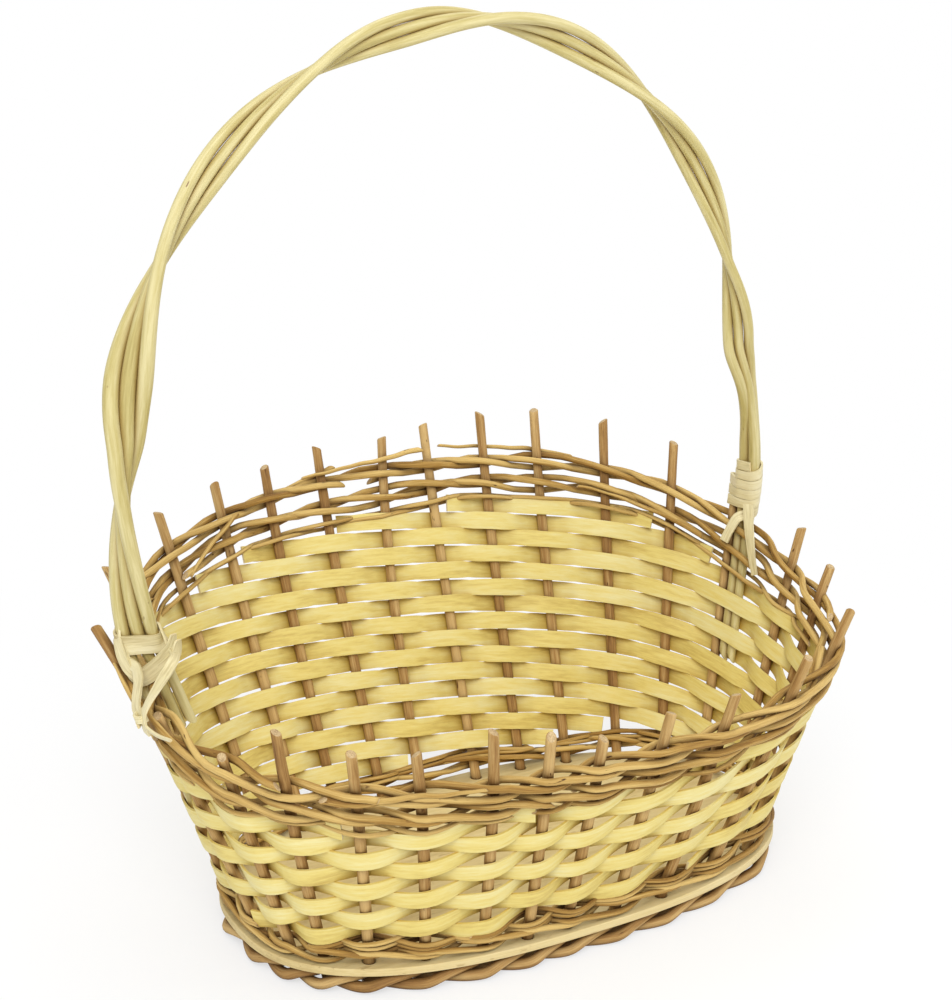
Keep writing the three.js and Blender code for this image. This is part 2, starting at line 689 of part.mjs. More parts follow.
// Path of one handle rod: the three lie side by side as a band that twists along the arch. Over
// the lowest stretch of each leg the rods grow thinner and draw together, and at the right foot
// the band also turns into line with the wall. Below it each rod has its own tail.
function handleRodPath(slot) {
  const line = handleLine();
  const shares = sharesAlong(line);
  const last = line.length - 1;
  const rings = line.map((centre, i) => {
    const side = i < line.length / 2 ? 1 : -1;
    const foot = handleFoot(side);
    const fromFoot = side > 0 ? i : last - i;
    const gathered = Math.max(0, 1 - fromFoot / GATHER_STEPS);
    const turned = side > 0 ? gathered : 0;
    const axis = pathAxis(line, i);
    const frame = frameBeside(foot, side * seatDistance(1, HANDLE_FOOT_RADIUS), foot.seatTop);
    const across = vec(0, 1, 0).lerp(frame.onward.multiplyScalar(-side), turned);
    across.addScaledVector(axis, -axis.dot(across)).normalize();
    const inward = axis.clone().cross(across);
    const flatTurn = Math.PI * Math.round(bandTurn(0) / Math.PI);
    const turn = mix(bandTurn(shares[i]), flatTurn, turned);
    const freeRadius = mix(HANDLE_RADIUS_RIGHT, HANDLE_RADIUS_LEFT, shares[i]);
    const radius = mix(freeRadius, side > 0 ? HANDLE_FOOT_RADIUS : LEFT_BAND_RADIUS, gathered);
    const gap = mix(HANDLE_ROD_GAP, SEAT_GAP, gathered);
    return bandPlace(slot, centre, across, inward, turn, radius, gap);
  });
  const tail = (side) => {
    const foot = handleFoot(side);
    const seat = seatOf(foot, slot);
    const ring = (along, outward, height) => {
      return { point: besideStake(foot, along, outward, height), radius: HANDLE_FOOT_RADIUS, side: vec(0, 1, 0) };
    };
    if (seat < foot.rodsInWall) {
      const along = side * seatDistance(seat, HANDLE_FOOT_RADIUS);
      return [ring(along, 0, foot.rim), ring(along, 0, foot.rim - HANDLE_TAIL_BELOW_RIM)];
    }
    if (side > 0) {
      return [];
    }
    const beyond = (seat - foot.rodsInWall) * (2 * HANDLE_FOOT_RADIUS + SEAT_GAP);
    const inward = BORDER_OFFSET + BORDER_ROD_RADIUS + SEAT_GAP + HANDLE_FOOT_RADIUS + beyond;
    const along = -seatDistance(0, HANDLE_FOOT_RADIUS);
    return [
      ring(along, -inward, foot.rim + BORDER_HALF_HEIGHT),
      ring(along, -inward, foot.rim - INNER_TAIL_BELOW_RIM),
    ];
  };
  return [...tail(1).reverse(), ...rings, ...tail(-1)];
}

function handleRodGeometry(slot) {
  const path = handleRodPath(slot);
  return rod(path.map((ring) => ring.point), (i) => path[i].side, (i) => path[i].radius, HANDLE_SIDES);
}

// Middle, radius and axis of a handle rod where it passes a height near a foot
function rodAtHeight(foot, slot, height) {
  const whole = handleRodPath(slot);
  const path = foot.side > 0 ? whole.slice(0, LEG_STEPS + 2) : whole.slice(-LEG_STEPS - 2).reverse();
  let i = 0;
  while (i < path.length - 2 && path[i + 1].point.z < height) {
    i++;
  }
  const part = (height - path[i].point.z) / (path[i + 1].point.z - path[i].point.z);
  return {
    middle: path[i].point.clone().lerp(path[i + 1].point, part),
    radius: mix(path[i].radius, path[i + 1].radius, part),
    axis: path[i + 1].point.clone().sub(path[i].point).normalize(),
  };
}

// Place of the cane for a direction round the bundle of rods and stake: on whichever reaches
// furthest out that way
function canePlace(foot, turn, height) {
  const bundle = [];
  for (let slot = 0; slot < HANDLE_RODS; slot++) {
    bundle.push(rodAtHeight(foot, slot, height));
  }
  const frame = wallFrame(foot.stake, height);
  const axis = bundle[1].axis;
  const along = frame.onward.clone().addScaledVector(axis, -axis.dot(frame.onward)).normalize();
  const outward = axis.clone().cross(along);
  const way = along.multiplyScalar(Math.cos(turn) * foot.side).addScaledVector(outward, Math.sin(turn));
  const tip = foot.rim + STAKE_STANDS_PROUD + CANE_WIDTH / 2;
  const pastTip = THREE.MathUtils.clamp((height - tip) / CANE_PITCH, 0, 1);
  const beside = bundle[seatOf(foot, 0)];
  bundle.push({
    middle: frame.point.clone().lerp(beside.middle, pastTip),
    radius: mix(STAKE_RADIUS + CANE_ROOM_AT_STAKE, beside.radius, pastTip),
  });
  const reach = (piece) => piece.middle.dot(way) + piece.radius;
  const furthest = bundle.reduce((best, piece) => (reach(piece) > reach(best) ? piece : best));
  const standOff = furthest.radius + CANE_SEAT_GAP + CANE_THICKNESS / 2;
  return { point: furthest.middle.clone().addScaledVector(way, standOff), face: way };
}

// Lashing of flat cane round a foot: one unbroken strip with its turns and its legs
function lashingPath(foot, turns, firstTurn, legBefore, legAfter) {
  const leg = (places) => places.map(([along, outward, above, facing]) => {
    const height = foot.rim + above;
    const frame = wallFrame(foot.stake, height);
    const turn = THREE.MathUtils.degToRad(facing);
    const face = frame.onward.multiplyScalar(foot.side * Math.cos(turn));
    face.addScaledVector(frame.outward, Math.sin(turn));
    return { point: besideStake(foot, foot.side * along, outward, height), face };
  });
  const path = leg(legBefore);
  const bottom = foot.rim + BORDER_HALF_HEIGHT + CANE_START_ABOVE_BORDER;
  for (let i = 0; i <= turns * CANE_LOOP_STEPS; i++) {
    const turn = firstTurn + FULL_TURN * i / CANE_LOOP_STEPS;
    path.push(canePlace(foot, turn, bottom + CANE_PITCH * i / CANE_LOOP_STEPS));
  }
  path.push(...leg(legAfter));
  return path;
}

function caneRings(path) {
  const points = path.map((place) => place.point);
  return path.map((place, i) => {
    const axis = pathAxis(points, i);
    const face = place.face.clone().addScaledVector(axis, -place.face.dot(axis)).normalize();
    const across = face.clone().cross(axis);
    const ring = [];
    for (let j = 0; j < CANE_SIDES; j++) {
      const turn = FULL_TURN * j / CANE_SIDES;
      const point = place.point.clone().addScaledVector(across, CANE_WIDTH / 2 * Math.cos(turn));
      ring.push(point.addScaledVector(face, CANE_THICKNESS / 2 * Math.sin(turn)));
    }
    return ring;
  });
}

// Least distance between corners of rings that are at least half a turn apart
function leastGap(rings) {
  let least = Infinity;
  for (let i = 0; i < rings.length; i++) {
    for (let k = i + CANE_LOOP_STEPS / 2; k < rings.length; k++) {
      for (const a of rings[i]) {
        for (const b of rings[k]) {
          least = Math.min(least, a.distanceTo(b));
        }
      }
    }
  }
  return least;
}

const wasm = await Module();
wasm.setup();

const basket = new THREE.Group();
basket.add(mesh('base_board', boardGeometry(wasm), BOARD_PALE, 0.75));
for (let k = 0; k < STAKE_COUNT; k++) {
  basket.add(mesh(numbered('stake', k + 1), stakeGeometry(k), WILLOW_BUFF, 0.7));
}
for (let number = 0; number < WALE_RODS; number++) {
  basket.add(mesh(numbered('foot_rod', number + 1), footRodGeometry(number), WILLOW_BROWN, 0.7));
}
splintRuns().forEach((run, i) => {
  basket.add(mesh(numbered('splint', i + 1), splintGeometry(run), SPLINT_YELLOW, 0.6));
});
for (let round = 0; round < BORDER_ROUNDS; round++) {
  for (let number = 0; number < WALE_RODS; number++) {
    const name = numbered('border_rod', round * WALE_RODS + number + 1);
    basket.add(mesh(name, borderGeometry(round, number), WILLOW_BROWN, 0.7));
  }
}
for (let slot = 0; slot < HANDLE_RODS; slot++) {
  basket.add(mesh(numbered('handle_rod', slot + 1), handleRodGeometry(slot), PEELED_STRAW, 0.6));
}

for (const side of [1, -1]) {
  const foot = handleFoot(side);
  const path = side > 0
    ? lashingPath(foot, CANE_TURNS_RIGHT, -Math.PI / 2, CANE_RIGHT_LEG, [])
    : lashingPath(foot, CANE_TURNS_LEFT, Math.PI / 2, CANE_LEFT_START, CANE_LEFT_END);
  const name = side > 0 ? 'lashing_right' : 'lashing_left';
  const rings = caneRings(path);
  const gap = leastGap(rings);
  console.log(`${name}: least gap to itself ${gap.toFixed(2)} mm, wanted over ${CANE_LEAST_GAP} mm`);
  basket.add(mesh(name, loft(rings), CANE_CREAM, 0.6));
}

// The origin is on the ground under the middle of the whole basket
const bounds = new THREE.Box3().setFromObject(basket);
const middle = bounds.getCenter(vec(0, 0, 0));
for (const piece of basket.children) {
  piece.geometry.translate(-middle.x, -middle.y, -bounds.min.z);
}

export default basket;
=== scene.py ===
"""Gift basket, an oval woven basket with a low front, a high back and a twisted handle.

Lengths are in millimetres until a mesh is made, and the axes are the part's own: +X along the
basket, +Y towards its high back and +Z up.
"""

import math

import bpy
import numpy as np

from mathutils import Matrix, Vector


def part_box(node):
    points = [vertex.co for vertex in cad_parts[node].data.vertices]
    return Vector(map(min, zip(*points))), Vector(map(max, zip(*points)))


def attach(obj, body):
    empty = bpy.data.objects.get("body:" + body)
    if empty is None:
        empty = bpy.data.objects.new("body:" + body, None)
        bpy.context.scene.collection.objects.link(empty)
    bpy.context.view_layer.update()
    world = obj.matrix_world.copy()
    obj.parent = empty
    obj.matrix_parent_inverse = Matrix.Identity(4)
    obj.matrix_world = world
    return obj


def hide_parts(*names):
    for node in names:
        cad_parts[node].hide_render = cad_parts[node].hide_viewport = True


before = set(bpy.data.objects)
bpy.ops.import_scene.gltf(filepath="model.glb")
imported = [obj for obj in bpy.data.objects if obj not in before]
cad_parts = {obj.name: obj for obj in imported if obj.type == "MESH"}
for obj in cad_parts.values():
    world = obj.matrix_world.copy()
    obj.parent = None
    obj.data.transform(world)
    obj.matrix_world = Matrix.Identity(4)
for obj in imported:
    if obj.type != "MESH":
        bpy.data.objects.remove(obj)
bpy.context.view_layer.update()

MM = 0.001
FULL_TURN = 2 * math.pi
SMALL = 1e-6
SEED = 27
ACROSS_BASKET = np.array([0.0, 1.0, 0.0])

# Gap between pieces that sit on each other, and the samples of each closed line
SEAT_GAP = 0.3
LOOP_SAMPLES = 1440

# Base board
BOARD_HALF_LENGTH = 147.5
BOARD_HALF_WIDTH = 84.5
BOARD_SQUARENESS = 2.55
BOARD_THICKNESS = 4
BOARD_CENTRE = (-2.4, -26.2)
BOARD_EDGE_ROUNDING = 0.5
BOARD_EDGE_STEPS = 3
BOARD_SIDES = 240
HOLE_SIDES = 24
HOLE_INSET = 7.2
HOLE_CLEARANCE = 0.5

# Line of the rim, the middle of the top border
RIM_HALF_LENGTH_RIGHT = 171.5
RIM_HALF_LENGTH_LEFT = 177
RIM_HALF_WIDTH = 122
RIM_SQUARENESS = 2.4
RIM_CENTRE_Y = -9.8
RIM_SKEW = -5
RIM_HEIGHT = 127
RIM_RISE = 31.5
RIM_CUP = 11
RIM_TILT = 2.5

# Gaps between the stakes, from the left end along the back to the right end and back in front,
# and the place of the first stake, a share of the line counted from the right end along the back
BOARD_GAPS = [25, 33, 28, 22, 28, 23, 34, 27, 27, 29, 25, 24, 30, 22, 44, 36, 31, 28, 27, 21, 23, 28,
              26, 21, 17, 21, 30]
RIM_GAPS = [49, 43, 35, 29, 32, 33, 32, 32, 31, 38, 38, 39, 45, 27, 50, 56, 46, 36, 32, 25, 25, 32,
            29, 33, 28, 42, 36]
STAKE_COUNT = len(BOARD_GAPS)
FIRST_STAKE_ON_BOARD = 0.4785
FIRST_STAKE_ON_RIM = 0.482

# Stakes and the foot border that their tails make: how many stakes on from its own a tail passes,
# how far outward it lies there and the share of its drop that it has made
STAKE_RADIUS = 2.7
STAKE_TIP_RADIUS = 2.45
STAKE_CUT_SLOPE = 0.6
CUT_SLOPE_RANGE = (0.5, 1.2)
STAKE_TAIL_CUT = (0.8, 0)
STAKE_BEND_RADIUS = 4
STAKE_SIDES = 14
STAKE_SIDES_IN_PART = 6
STAKE_STEPS = 16
BEND_STEPS = 6
STAKE_PATH_STEP = 1.6
STAKE_EASING = 5
TAPER_FROM_TIP = 60
TAPER_TO_TAIL = 40
TAIL_END_SHARE = 0.93
TAIL_STEPS = [0.33, 0.62, 1, 1.33, 1.75, 2.2]
TAIL_OUTWARD = [1.6, 4.2, 5.8, 2.8, -1.8, -4.6]
TAIL_DROP = [0, 0.1, 0.83, 1, 1, 1]
TAIL_REACH_RANGE = (0.75, 1.1)
TAIL_GAP = 0.5

# Tips of the stakes: how far each stands above the rim, and how far it leans off the straight
# stake, onward along the wall and outward
TIP_HEIGHTS = [33.5, 26.5, 26, 24, 22.5, 25, 24, 27.5, 31, 33, 32, 31, 26, 27, 22, 26.5, 28, 26, 27,
               21.5, 29, 37, 28, 27.5, 34, 10, 9]
TIP_ONWARD = [0, 0, 0, 3.5, 5, 4.8, 9, 2.3, 3.3, 2.8, 1.9, 1.6, 0, 0, 0, 0, 1, 2, 1, 1.8, 2.5, 4, 4,
              1.8, -3, 0, 0]
TIP_OUTWARD = [8, 5.5, 0, 0, 0, 0, 0, 0, 0, 0, 0, 0, 0, 3.2, 4.3, 1.7, 0, 0, 0, 0, 0, 0, 0, 0, 0, 0,
               2]

# Splints, an odd number of them worked round together so that their rows slope
SPLINT_WIDTH = 8.5
SPLINT_WIDTH_AT_STAKES = 9.1
SPLINT_WAIST = 8.3
SPLINT_WAIST_SHARE = 0.6
SPLINT_THICKNESS = 1.1
SPLINT_PITCH = 8.65
SPLINT_CLEARANCE = 0.2
SPLINTS_TOGETHER = 11
ROW_SWAY = 0.51
STEEPEST_STAKE = 13.5
FIRST_ROW_ABOVE_BOARD = 19.5
SPLINT_END = 0.85
SPLINT_EDGE = 0.3
SPLINT_STEPS = 8
FIT_REACH = 0.7
LEAST_STAKES = 3
BUNDLE_MARGIN = 1.5
BUNDLE_STEPS = 3

# Foot rods and border rods, both three-rod wale; a round ends a little before its own start
WALE_RODS = 3
FOOT_ROD_RADIUS = 1.5
FOOT_ROD_START = [4, 13, 22]
BORDER_ROD_RADIUS = 1.8
BORDER_ROUNDS = 2
BORDER_ROD_START = [2, 11, 20, 6, 15, 24]
ROD_CLEARANCE = 0.2
WALE_GAP = 0.35
WALE_END = 0.5
WALE_LIFT_TURNS = [0, 0.15, 0.85, 1.4, 2.6, 3]
WALE_LIFTS = [-1, -0.9, 0.9, 1, -1, -1]
ROD_SIDES = 12
ROD_STEPS = 7
ROD_BEVEL = 0.5
ROD_BEVEL_SHARE = 0.82
ROD_CUT = (1.2, 0.4)
ROD_CUT_ROOM = 1.3

# Shares of the room between rods and splints by which each loose rod moves towards the splints,
# and the most that it moves; thin strands fill that room where it is wide, at other shares of it
FOOT_SPREAD = [0.15, 0.5, 0.95]
BORDER_SPREAD = [0.8, 0.5, 0.2, 0, -0.1, -0.3]
MOST_SPREAD = 7
STRAND_RADIUS = 1.15
STRAND_LEAST_ROOM = 3
STRAND_BEFORE = 1.3
STRAND_BEYOND = 1.4
FOOT_STRAND_PLACES = [0.35, 0.6, 0.85, 1.12]
BORDER_STRAND_PLACES = [1, 1.35]

# Handle
HANDLE_RODS = 3
HANDLE_SIDES = 20
HANDLE_FOOT_RADIUS = 2.5
HANDLE_ROD_GAP = 0.1
HANDLE_HALF_SPAN = 167.4
HANDLE_CENTRE_X = -10.4
HANDLE_SPRING_HEIGHT = 248
HANDLE_HEIGHT = 425.7
HANDLE_ROUNDNESS = 1.9
HANDLE_TOP_Y = 6.8
HANDLE_LEG_BOW_LEFT = 4.2
HANDLE_LEG_BOW_RIGHT = 6
HANDLE_LEFT_STAKE = 0
HANDLE_RIGHT_STAKE = 12
HANDLE_SEAT_ABOVE_BORDER = 2
HANDLE_TAIL_BELOW_RIM = 64
HANDLE_GATHER_SHARE = 0.22
RODS_IN_WALL_RIGHT = 2
RODS_IN_WALL_LEFT = 1
LEFT_BAND_ABOVE_RIM = 21
LEFT_BAND_RADIUS = 3.1
LEFT_BAND_INWARD = 7.8
LEFT_BAND_ALONG = 6.4
INNER_TAIL_BELOW_RIM = 22
HANDLE_TAIL_STEPS = 16
INNER_TAIL_STEPS = 8
LEG_STEPS = 36
ARCH_STEPS = 150
HANDLE_PATH_STEP = 2.2
HANDLE_CUT = (1, 0.5)
HANDLE_EASING = 6
TWIST_FACING = math.radians(209)

# Twist of the band in half turns and radius of its rods, at shares of the length from the right
# foot, and how far the line is off the even arch there, along the basket and upward
TWIST_SHARES = [0, 0.06, 0.11, 0.16, 0.204, 0.346, 0.482, 0.605, 0.757, 0.906, 1]
TWIST_HALF_TURNS = [0.3, 0.33, 0.52, 0.95, 1.34, 2.26, 3.15, 4.06, 5.03, 6.05, 6.55]
RADIUS_SHARES = [0, 0.2, 0.42, 0.6, 0.75, 0.83, 0.91, 1]
HANDLE_RADII = [3.1, 2.5, 2.75, 2.5, 2.8, 3.6, 3.4, 3.2]
OFF_LINE_SHARES = [0, 0.1, 0.2, 0.32, 0.48, 0.54, 0.65, 1]
OFF_LINE_ALONG = [0, -1, -3.5, -1, 0, 0, 0, 0]
OFF_LINE_UP = [0, 0, 0, -1, -2, -3, -0.5, 0]

# Shares of the length between which the band at the right foot draws into a bundle, and how far
# out its last rod sits there, as a share of the rods' radius
BUNDLED_TO = 0.06
BUNDLED_FROM = 0.13
BUNDLE_DEPTH = 1.75

# Lashings, strips of cane; their places beside a foot's stake are the distance along the wall,
# outward and above the rim, the facing in degrees from along to outward, and its share upward
CANE_WIDTH = 5.2
CANE_THICKNESS = 1.2
CANE_EDGE = 0.05
CANE_PATH_STEP = 0.9
CANE_EASING = 4
CANE_PITCH = 5.6
CANE_LOOP_STEPS = 72
CANE_TURNS_LEFT = 2.5
CANE_TURNS_RIGHT = 5
CANE_SEAT_GAP = 0.3
CANE_START_ABOVE_BORDER = 4
CANE_RIGHT_LEG = [(2, -8.5, -5, -90, 0), (3.4, -8.5, -1.5, -90, 0), (5.5, -8.4, 3, -90, 0),
                  (8, -7.6, 8.5, -90, 0)]
CANE_RIGHT_TAIL = [(15.5, -8, 17, -70, 0), (17.5, -8.2, 8, -80, 0), (20, -8, 0, -90, 0),
                   (23, -7.6, -9, -90, 0), (25.5, -6.2, -17, -90, 0)]
CANE_LEFT_ABOVE_BORDER = 8.5
CANE_LEFT_PITCH = 4.4
CANE_LEFT_START = [(37, 9.6, 0, 90, 0), (37, 9.8, 4, 85, 0.5), (34, 8.8, 7, 80, 1),
                   (29, 5, 9.5, 60, 2), (22, 1, 11, 60, 2), (14, -1, 13, 60, 1)]
CANE_LEFT_END = [(20.5, -19, 13, -30, 0), (24, -14, 10.8, -30, 2), (31, -8, 10.8, -30, 4),
                 (37, -1.5, 10.8, 60, 4), (40, 4.5, 9.8, 90, 2), (39.5, 8.6, 6.5, 90, 1),
                 (38, 10, 1, 90, 0), (37, 10, -4, 90, 0)]
CANE_LEFT_SLING = [(3.5, -5, 27, 110, 0), (7.5, 0.6, 22, 60, 0), (9.3, 1.8, 15, 45, 0),
                   (9.4, 1.6, 8.6, 35, 0), (10.4, -0.4, 4.6, 20, 0), (12.6, -5, 5.6, 5, 0),
                   (15.4, -12, 8.6, -5, 0), (18.6, -19.4, 12.5, -20, 0), (18.5, -23, 18, -60, 0)]
CANE_SLING_STEP = (0.3, 1.0, 3.4, 0, 0)
CANE_SLINGS = 2
CANE_LEFT_TAIL = [(37, 10, 2, 85, 0), (40, 9.8, 0, 90, 0), (44, 9.6, -0.5, 90, 0),
                  (49, 9.4, 0, 90, 0), (55, 9.4, 1.5, 90, 0)]
CANE_LEFT_TAIL_WIDTH = 2.2
CANE_LEFT_TAIL_TAPER = 0.5
CANE_RIGHT_TAIL_WIDTH = 6.24
CANE_RIGHT_TAIL_TAPER = 0.4
KNOT_PLACE = (37, 9.6, 3.5)
KNOT_RADIUS = 2.56
KNOT_TURNS = 1.6
KNOT_PITCH = 3
KNOT_STEPS = 60
KNOT_WIDTH = 3.6

# Loose ends of border rods: first and last stake number, heights above the rim there, offset;
# each thickens from its tip to its root
LOOSE_TIP_RADIUS = 0.8
LOOSE_ROOT_RADIUS = 1.5
LOOSE_CUT = (0.8, 0.3)
LOOSE_STEPS = 40
LOOSE_ENDS = [(7.35, 9.6, 14.5, 9, 5.5), (3.6, 5.4, 2.5, 11.5, 5), (4.7, 6.9, 9.5, 12.5, -4.5),
              (2.1, 3.3, -9.5, 4, -5), (9.6, 11.6, -7, -10, -5), (21.2, 22.7, 9, 6.5, 5.5),
              (0.06, -0.75, 17, 1, 6.5), (0.2, -0.9, 9, -3, 5.5)]

# Slow waves that make each kind of piece uneven: the longest wavelength, and the size in
# millimetres or as a share; each is a sum of waves of these shares and weights
WAVES = {"stake": (60, 0.04), "splint": (90, 0.05), "splint height": (260, 0.5),
         "rod": (150, 0.06), "rod height": (120, 0.7), "loose outward": (60, 0.8),
         "loose upward": (70, 0.9), "handle": (180, 0.035), "cane": (40, 0.06)}
WAVE_PARTS = [(1.0, 0.6), (0.47, 0.3), (0.23, 0.15)]
WAVE_STRETCH = (0.8, 1.2)

# Length along the wall that a stake's stretch counts for in the waves of splints and rods
SPLINT_STRETCH = 30
ROD_STRETCH = 32

# Range within which the colour shifts from piece to piece, for each kind
TONES = {"stake": (-0.08, 0.08), "splint": (-0.1, 0.08), "rod": (-0.14, 0.14),
         "loose": (-0.1, 0.1), "handle": (-0.04, 0.04), "cane": (-0.05, 0.05)}

# Angle from which mesh edges stay sharp, how much finer the grain is on a cut end than along a
# side, and the range within which the grain shifts from piece to piece
SHARP_ANGLE = math.radians(50)
CUT_GRAIN = 40
GRAIN_SHIFT = 50

# Floor and light, in metres and watts: the floor grows white from one distance to another, and
# each lamp has a name, place, target, size and power
FLOOR_SIZE = 30
FLOOR_HEIGHT = -0.0005
WHITE = (1, 1, 1, 1)
WHITE_FROM = 0.18
WHITE_TO = 0.5
WHITENESS_AT_BASKET = 0.65
WORLD_LIGHT = 0.55
LIGHTS = [("key", (-0.9, -1.5, 1.7), (0, 0, 0.15), 1.2, 36),
          ("fill", (1.6, -0.9, 1.0), (0, 0, 0.15), 1.2, 8),
          ("top", (0.2, 0.6, 2.0), (0, 0, 0.1), 1.5, 10)]

# Reach, in metres, within which a neighbour darkens the wood between pieces with painted shade, and
# how strongly
CREVICE_SHADE_DEPTH = 0.006
CREVICE_SHADE_STRENGTH = 1.25

# Depth, in metres, of the fine relief of the grain, and the roughness of a gloss over it
BUMP_DEPTH = 0.0004
COAT_ROUGHNESS = 0.35

# Camera, its place counted from the middle of the board
CAMERA_FROM_BOARD = (-449.3, -775.4)
CAMERA_HEIGHT = 513.3
CAMERA_AZIMUTH = math.radians(29.15)
CAMERA_ELEVATION = math.radians(19.18)
CAMERA_LENS = 71.69
CAMERA_SENSOR = 36

# Heights that follow from the sizes above; the stakes' flats in the part set the lowest ones
STAKE_FLAT = STAKE_RADIUS * math.cos(math.pi / STAKE_SIDES_IN_PART)
TAIL_LOW = STAKE_FLAT
TAIL_HIGH = TAIL_LOW + 2 * STAKE_FLAT + TAIL_GAP
BOARD_BOTTOM = TAIL_HIGH + STAKE_FLAT + SEAT_GAP
BOARD_TOP = BOARD_BOTTOM + BOARD_THICKNESS
FOOT_LIFT = 2 * FOOT_ROD_RADIUS + WALE_GAP + SEAT_GAP
FOOT_CENTRE = BOARD_TOP + SEAT_GAP + FOOT_ROD_RADIUS + FOOT_LIFT / 2
BORDER_LIFT = 2 * BORDER_ROD_RADIUS + WALE_GAP + SEAT_GAP
BORDER_ROUND_HEIGHT = BORDER_LIFT + 2 * BORDER_ROD_RADIUS + WALE_GAP
BORDER_HALF_HEIGHT = BORDER_ROUNDS * BORDER_ROUND_HEIGHT / 2
SPLINT_OFFSET = STAKE_RADIUS + SPLINT_THICKNESS / 2 + SPLINT_CLEARANCE
FOOT_OFFSET = STAKE_RADIUS + FOOT_ROD_RADIUS + ROD_CLEARANCE
BORDER_OFFSET = STAKE_RADIUS + BORDER_ROD_RADIUS + ROD_CLEARANCE

rng = np.random.default_rng(SEED)


def unit(vectors):
    """Unit vectors of rows of vectors."""
    return vectors / np.linalg.norm(vectors, axis=-1, keepdims=True)


def column(values):
    return np.asarray(values, dtype=float)[..., None]


def mix(a, b, t):
    return a + (b - a) * t


def lengths_along(points):
    steps = np.linalg.norm(np.diff(points, axis=0), axis=1)
    return np.concatenate([[0], np.cumsum(steps)])


def at_lengths(places, along, values):
    """Rows of values, known at the lengths along, read at other lengths."""
    columns = [np.interp(places, along, values[:, k]) for k in range(values.shape[1])]
    return np.stack(columns, axis=-1)


def signed_power(value, exponent):
    return np.sign(value) * np.abs(value) ** exponent


def oval(angle, half_right, half_left, half_width, squareness):
    """Point of an oval with squared shoulders, and its two shares of the half lengths."""
    along = signed_power(np.cos(angle), 2 / squareness)
    across = signed_power(np.sin(angle), 2 / squareness)
    half_length = np.where(along > 0, half_right, half_left)
    return half_length * along, half_width * across, along, across


def board_line(angle):
    half_length = BOARD_HALF_LENGTH - HOLE_INSET
    half_width = BOARD_HALF_WIDTH - HOLE_INSET
    x, y, _, _ = oval(angle, half_length, half_length, half_width, BOARD_SQUARENESS)
    return np.stack([x + BOARD_CENTRE[0], y + BOARD_CENTRE[1], np.full_like(x, BOARD_TOP)], axis=-1)


def rim_line(angle):
    x, y, along, across = oval(angle, RIM_HALF_LENGTH_RIGHT, RIM_HALF_LENGTH_LEFT, RIM_HALF_WIDTH,
                               RIM_SQUARENESS)
    height = RIM_HEIGHT + RIM_RISE * across + RIM_CUP * across ** 2 + RIM_TILT * along
    return np.stack([x, y + RIM_CENTRE_Y + RIM_SKEW * along, height], axis=-1)


def measured_loop(line):
    """Shares of the length, seen from above, at points of a closed line, and the points."""
    points = line(np.linspace(0, FULL_TURN, LOOP_SAMPLES + 1))
    along = lengths_along(points[:, :2])
    return along / along[-1], points


def on_loop(loop, share):
    return at_lengths(np.mod(share, 1), *loop)


BOARD_LOOP = measured_loop(board_line)
RIM_LOOP = measured_loop(rim_line)


def share_at(stake, gaps, first):
    """Share of a loop at a stake number, which may run on round after round."""
    passed = np.concatenate([[0], np.cumsum(gaps)]) / sum(gaps)
    rounds = np.floor(np.asarray(stake, dtype=float) / STAKE_COUNT)
    rest = stake - rounds * STAKE_COUNT
    return first - np.interp(rest, np.arange(STAKE_COUNT + 1), passed) - rounds


def foot_of_wall(stake):
    return on_loop(BOARD_LOOP, share_at(stake, BOARD_GAPS, FIRST_STAKE_ON_BOARD))


def rim_of_wall(stake):
    return on_loop(RIM_LOOP, share_at(stake, RIM_GAPS, FIRST_STAKE_ON_RIM))


def border_bottom(stake):
    return rim_of_wall(stake)[..., 2] - BORDER_HALF_HEIGHT


def wall_point(stake, height):
    """Point of the wall, which is ruled between the board and the rim along the stakes."""
    foot = foot_of_wall(stake)
    rim = rim_of_wall(stake)
    part = (height - foot[..., 2]) / (rim[..., 2] - foot[..., 2])
    return foot + (rim - foot) * column(part)


def wall_frame(stake, height):
    """Point of the wall with its directions: up the stake, outward, and onward along the row."""
    step = 0.25
    point = wall_point(stake, height)
    up = unit(rim_of_wall(stake) - foot_of_wall(stake))
    onward = wall_point(stake + step, height) - wall_point(stake - step, height)
    outward = unit(np.cross(up, onward))
    return point, up, outward, np.cross(outward, up)


def gap_at(stake, height):
    return np.linalg.norm(wall_point(stake, height) - wall_point(stake + 1, height))


def wobble(length, wavelength, size):
    """Gentle random waves at lengths along a line."""
    result = np.zeros(len(length))
    for share, weight in WAVE_PARTS:
        phase = rng.uniform(0, FULL_TURN)
        stretch = rng.uniform(*WAVE_STRETCH)
        result += weight * np.sin(FULL_TURN * length / (wavelength * share * stretch) + phase)
    return result * size


def tone(kind):
    return rng.uniform(*TONES[kind])


def smooth_path(points, along, count, rounds):
    """Even lengths along a path and its points there, with their corners eased."""
    places = np.linspace(0, along[-1], count)
    path = at_lengths(places, along, points)
    for _ in range(rounds):
        path[1:-1] = (path[:-2] + 2 * path[1:-1] + path[2:]) / 4
    return places, path


def gentle(part):
    """Share between 0 and 1 made to start and end gently."""
    return part * part * (3 - 2 * part)


def path_axes(points):
    """Unit direction of a path at each of its points."""
    steps = unit(np.diff(points, axis=0))
    both = np.concatenate([steps[:1], steps[:-1] + steps[1:], steps[-1:]])
    return unit(both)


def round_section(sides):
    turns = FULL_TURN * np.arange(sides) / sides
    return np.stack([np.cos(turns), np.sin(turns)], axis=-1)


